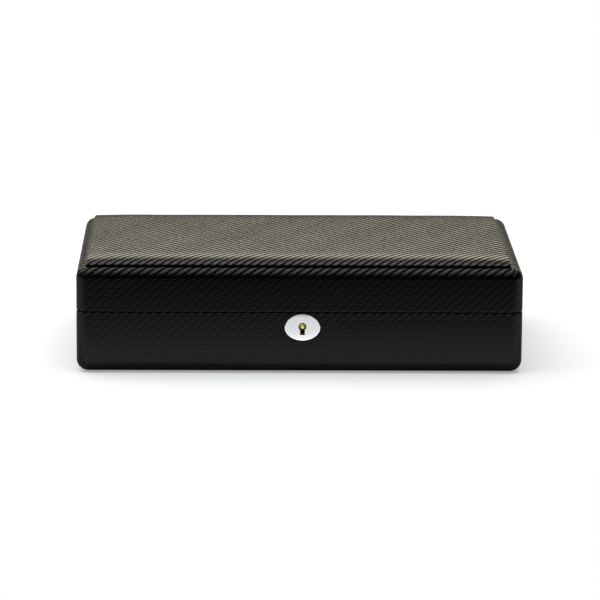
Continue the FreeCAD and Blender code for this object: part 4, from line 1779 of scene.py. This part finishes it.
@dataclass
class Screws:
    """Small countersunk screws of the hinges, the lock and the keeper."""

    finishes: Finishes
    recess: tuple[float, float, float] = (0.0019, 0.00042, 0.0009)
    hinge_spacing: float = 0.024
    seed: int = 7

    def rows(self, node: str, level: float) -> list[Vector]:
        """Return the places of the screws of a node that holds a pair of screws, or two such pairs.

        Args:
            node: The node.
            level: The level of the screws' heads.

        Returns:
            The middles of the heads.
        """
        low, high = node_box(node)
        radius = (high.y - low.y) / 2
        left, right = low.x + radius, high.x - radius
        across = [left, right]
        if node.startswith("hinge"):
            across += [left + self.hinge_spacing, right - self.hinge_spacing]
        return [Vector((x, (low.y + high.y) / 2, level)) for x in across]

    def build(self) -> list[bpy.types.Object]:
        """Build the screws of the base and of the lid.

        Returns:
            The finished pieces.
        """
        tree = screw_tree()
        pieces = []
        plans = (
            ("base_screws", Body.BASE, ("hinge_base_screws", "lock_screws"), 0.0),
            ("lid_screws", Body.LID, ("hinge_lid_screws", "keeper_screws"), math.pi),
        )
        for name, body, nodes, tilt in plans:
            places = []
            for node in nodes:
                low, high = node_box(node)
                places += self.rows(node, high.z if body is Body.BASE else low.z)
            mesh = bpy.data.meshes.new(name)
            mesh.from_pydata(places, [], [])
            piece = put(name, mesh)
            metal = self.finishes.materials[Slot.FITTINGS]
            grow(piece, tree, {"Recess": self.recess, "Tilt": tilt, "Seed": self.seed, "Metal": metal})
            pieces.append(stand_for(piece, self.finishes, Slot.FITTINGS, body, *nodes))
        return pieces


@dataclass(frozen=True)
class Softbox:
    """A soft rectangular light that hangs near the box."""

    name: str
    place: tuple[float, float, float]
    size: tuple[float, float]
    power: float
    colour: tuple[float, float, float]

    def hang(self, aim: Vector) -> None:
        """Hang the light.

        Args:
            aim: The point that it faces.
        """
        data = bpy.data.lights.new(self.name, "AREA")
        data.shape = "RECTANGLE"
        data.size, data.size_y = self.size
        data.energy = self.power
        data.color = self.colour
        lamp = put(self.name, data)
        place = Vector(self.place)
        turn = (aim - place).to_track_quat("-Z", "Y").to_matrix().to_4x4()
        lamp.matrix_world = Matrix.Translation(place) @ turn
        lamp.visible_camera = False


@dataclass
class Studio:
    """Camera, soft light, floor and white surroundings.

    Each turn is where it starts and ends, with the level before it and after it.
    """

    focal_pixels: float = 3592.0
    elevation: float = 12.70
    azimuth: float = -1.129
    roll: float = 0.42
    distance: float = 2.76
    target: tuple[float, float, float] = (0.0020, 0.0, 0.0337)
    ambient: float = 0.2
    backdrop_tint: Colour = (1.0, 0.95, 0.80, 1.0)
    behind_turn: Turn = (-0.20, 0.35, 0.03, 1.0)
    low_turn: Turn = (0.08, 0.20, 0.40, 0.14)
    high_turn: Turn = (0.35, 0.65, 0.14, 0.45)
    floor_colour: Colour = (0.94, 0.94, 0.94, 1.0)
    floor_front: float = -0.325
    floor_back: float = 0.9
    floor_side: float = 3.0
    floor_glow: float = 0.32
    # Painted glow of the floor in front of the box, seen only in reflections, and painted contact shade
    # where it fades out at the box's foot.
    painted_glow_turn: Turn = (-0.25, -0.13, 0.0, 1.1)
    painted_contact_shade_turn: Turn = (-0.13, -0.105, 1.0, 0.0)
    light_aim: tuple[float, float, float] = (0.0, 0.0, 0.06)
    lights: tuple[Softbox, ...] = (
        Softbox("back_softbox", (0.0, 1.5, 0.67), (2.4, 0.42), 8.0, (1.0, 0.95, 0.76)),
        Softbox("front_softbox", (-0.30, 0.05, 1.5), (2.2, 3.4), 31.0, (0.94, 0.97, 1.0)),
    )

    def camera(self) -> None:
        """Set up the camera as it stood for the photograph."""
        azimuth, elevation, roll = map(math.radians, (self.azimuth, self.elevation, self.roll))
        level = math.cos(elevation)
        back = Vector((math.sin(azimuth) * level, -math.cos(azimuth) * level, math.sin(elevation)))
        right = (-back).cross(Vector((0.0, 0.0, 1.0))).normalized()
        up = right.cross(-back)
        turned_right = right * math.cos(roll) + up * math.sin(roll)
        turned_up = up * math.cos(roll) - right * math.sin(roll)
        data = bpy.data.cameras.new("camera")
        data.sensor_width = SENSOR_WIDTH
        data.lens = self.focal_pixels * SENSOR_WIDTH / PHOTO_WIDTH
        camera = put("camera", data)
        turn = Matrix((turned_right, turned_up, back)).transposed()
        place = Vector(self.target) + back * self.distance
        camera.matrix_world = Matrix.Translation(place) @ turn.to_4x4()
        bpy.context.scene.camera = camera

    def surroundings(self) -> None:
        """Make the world white where it is seen, a lit backdrop in mirrors, and a soft light elsewhere."""
        world = bpy.data.worlds.new("studio_white")
        bpy.context.scene.world = world
        world.use_nodes = True
        wiring = Wiring(world.node_tree)
        path = wiring.add("ShaderNodeLightPath").outputs
        mirrored = wiring.math("MAXIMUM", path["Is Glossy Ray"], path["Is Transmission Ray"])
        way = wiring.split(wiring.add("ShaderNodeTexCoord").outputs["Generated"])
        behind = wiring.ramp(way["Y"], *self.behind_turn)
        low = wiring.ramp(way["Z"], *self.low_turn)
        risen = wiring.ramp(way["Z"], *self.high_turn)
        backdrop = wiring.math("MULTIPLY", behind, wiring.math("MAXIMUM", low, risen))
        unseen = wiring.mix(mirrored, self.ambient, backdrop)
        strength = wiring.mix(path["Is Camera Ray"], unseen, 1.0)
        warm = wiring.blend(wiring.math("MULTIPLY", mirrored, behind), WHITE, self.backdrop_tint)
        background = wiring.add("ShaderNodeBackground", {"Color": warm, "Strength": strength})
        wiring.add("ShaderNodeOutputWorld", {"Surface": background.outputs["Background"]})

    def floor(self) -> None:
        """Lay the pale floor: white where it is lit, with the object's shadow on it, and a painted glow in
        front of the box that only reflections see, fading to painted contact shade at the box's foot.
        """
        mesh = bpy.data.meshes.new("floor")
        side, front, back = self.floor_side, self.floor_front, self.floor_back
        corners = [(-side, front, 0.0), (side, front, 0.0), (side, back, 0.0), (-side, back, 0.0)]
        mesh.from_pydata(corners, [], [(0, 1, 2, 3)])
        floor = put("floor", mesh)
        material = bpy.data.materials.new("pale_floor")
        material.use_nodes = True
        wiring = Wiring(material.node_tree)
        matt = wiring.add("ShaderNodeBsdfDiffuse", {"Color": self.floor_colour})
        path = wiring.add("ShaderNodeLightPath").outputs
        place = wiring.split(wiring.object_place())
        # Painted reflection: a strip of floor in front of the box glows for reflected rays only, and fades
        # out at the box's foot as painted contact shade.
        near = wiring.ramp(place["Y"], *self.painted_glow_turn)
        clear = wiring.ramp(place["Y"], *self.painted_contact_shade_turn)
        mirrored = wiring.math("MULTIPLY", path["Is Glossy Ray"], wiring.math("MULTIPLY", near, clear))
        strength = wiring.mix(path["Is Camera Ray"], mirrored, self.floor_glow)
        glow = wiring.add("ShaderNodeEmission", {"Color": WHITE, "Strength": strength})
        both = wiring.add("ShaderNodeAddShader")
        for target, shader in zip(both.inputs, (matt, glow)):
            wiring.feed(target, shader.outputs[0])
        wiring.add("ShaderNodeOutputMaterial", {"Surface": both.outputs["Shader"]})
        mesh.materials.append(material)

    def build(self) -> None:
        """Set up the studio."""
        bpy.context.scene.view_settings.view_transform = "Standard"
        self.camera()
        self.surroundings()
        self.floor()
        for light in self.lights:
            light.hang(Vector(self.light_aim))


def main() -> None:
    """Build the watch box and its studio."""
    logging.basicConfig(level=logging.INFO, format="%(name)s: %(message)s")
    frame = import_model()
    nodes = frame["nodes"]
    finishes = Finishes(Workshop())
    slots = {row["node"]: Slot(row["material_slot"]) for row in frame["record"]["subparts"]}
    for node, slot in slots.items():
        finishes.dress(nodes[node], slot)
    lock = BoxLock(finishes)
    pieces = [
        BaseShell(finishes).build(lock.keyhole_cutter()),
        LidShell(finishes).build(),
        LidPad(finishes).build(),
        *lock.build(),
        *Tray(finishes, nodes, slots).build(),
        *Pillows(finishes, nodes).build(),
        *Screws(finishes).build(),
    ]
    Studio().build()
    for piece in pieces:
        LOG.info("%s: %d faces", piece.name, len(piece.data.polygons))


if __name__ == "__main__":
    main()
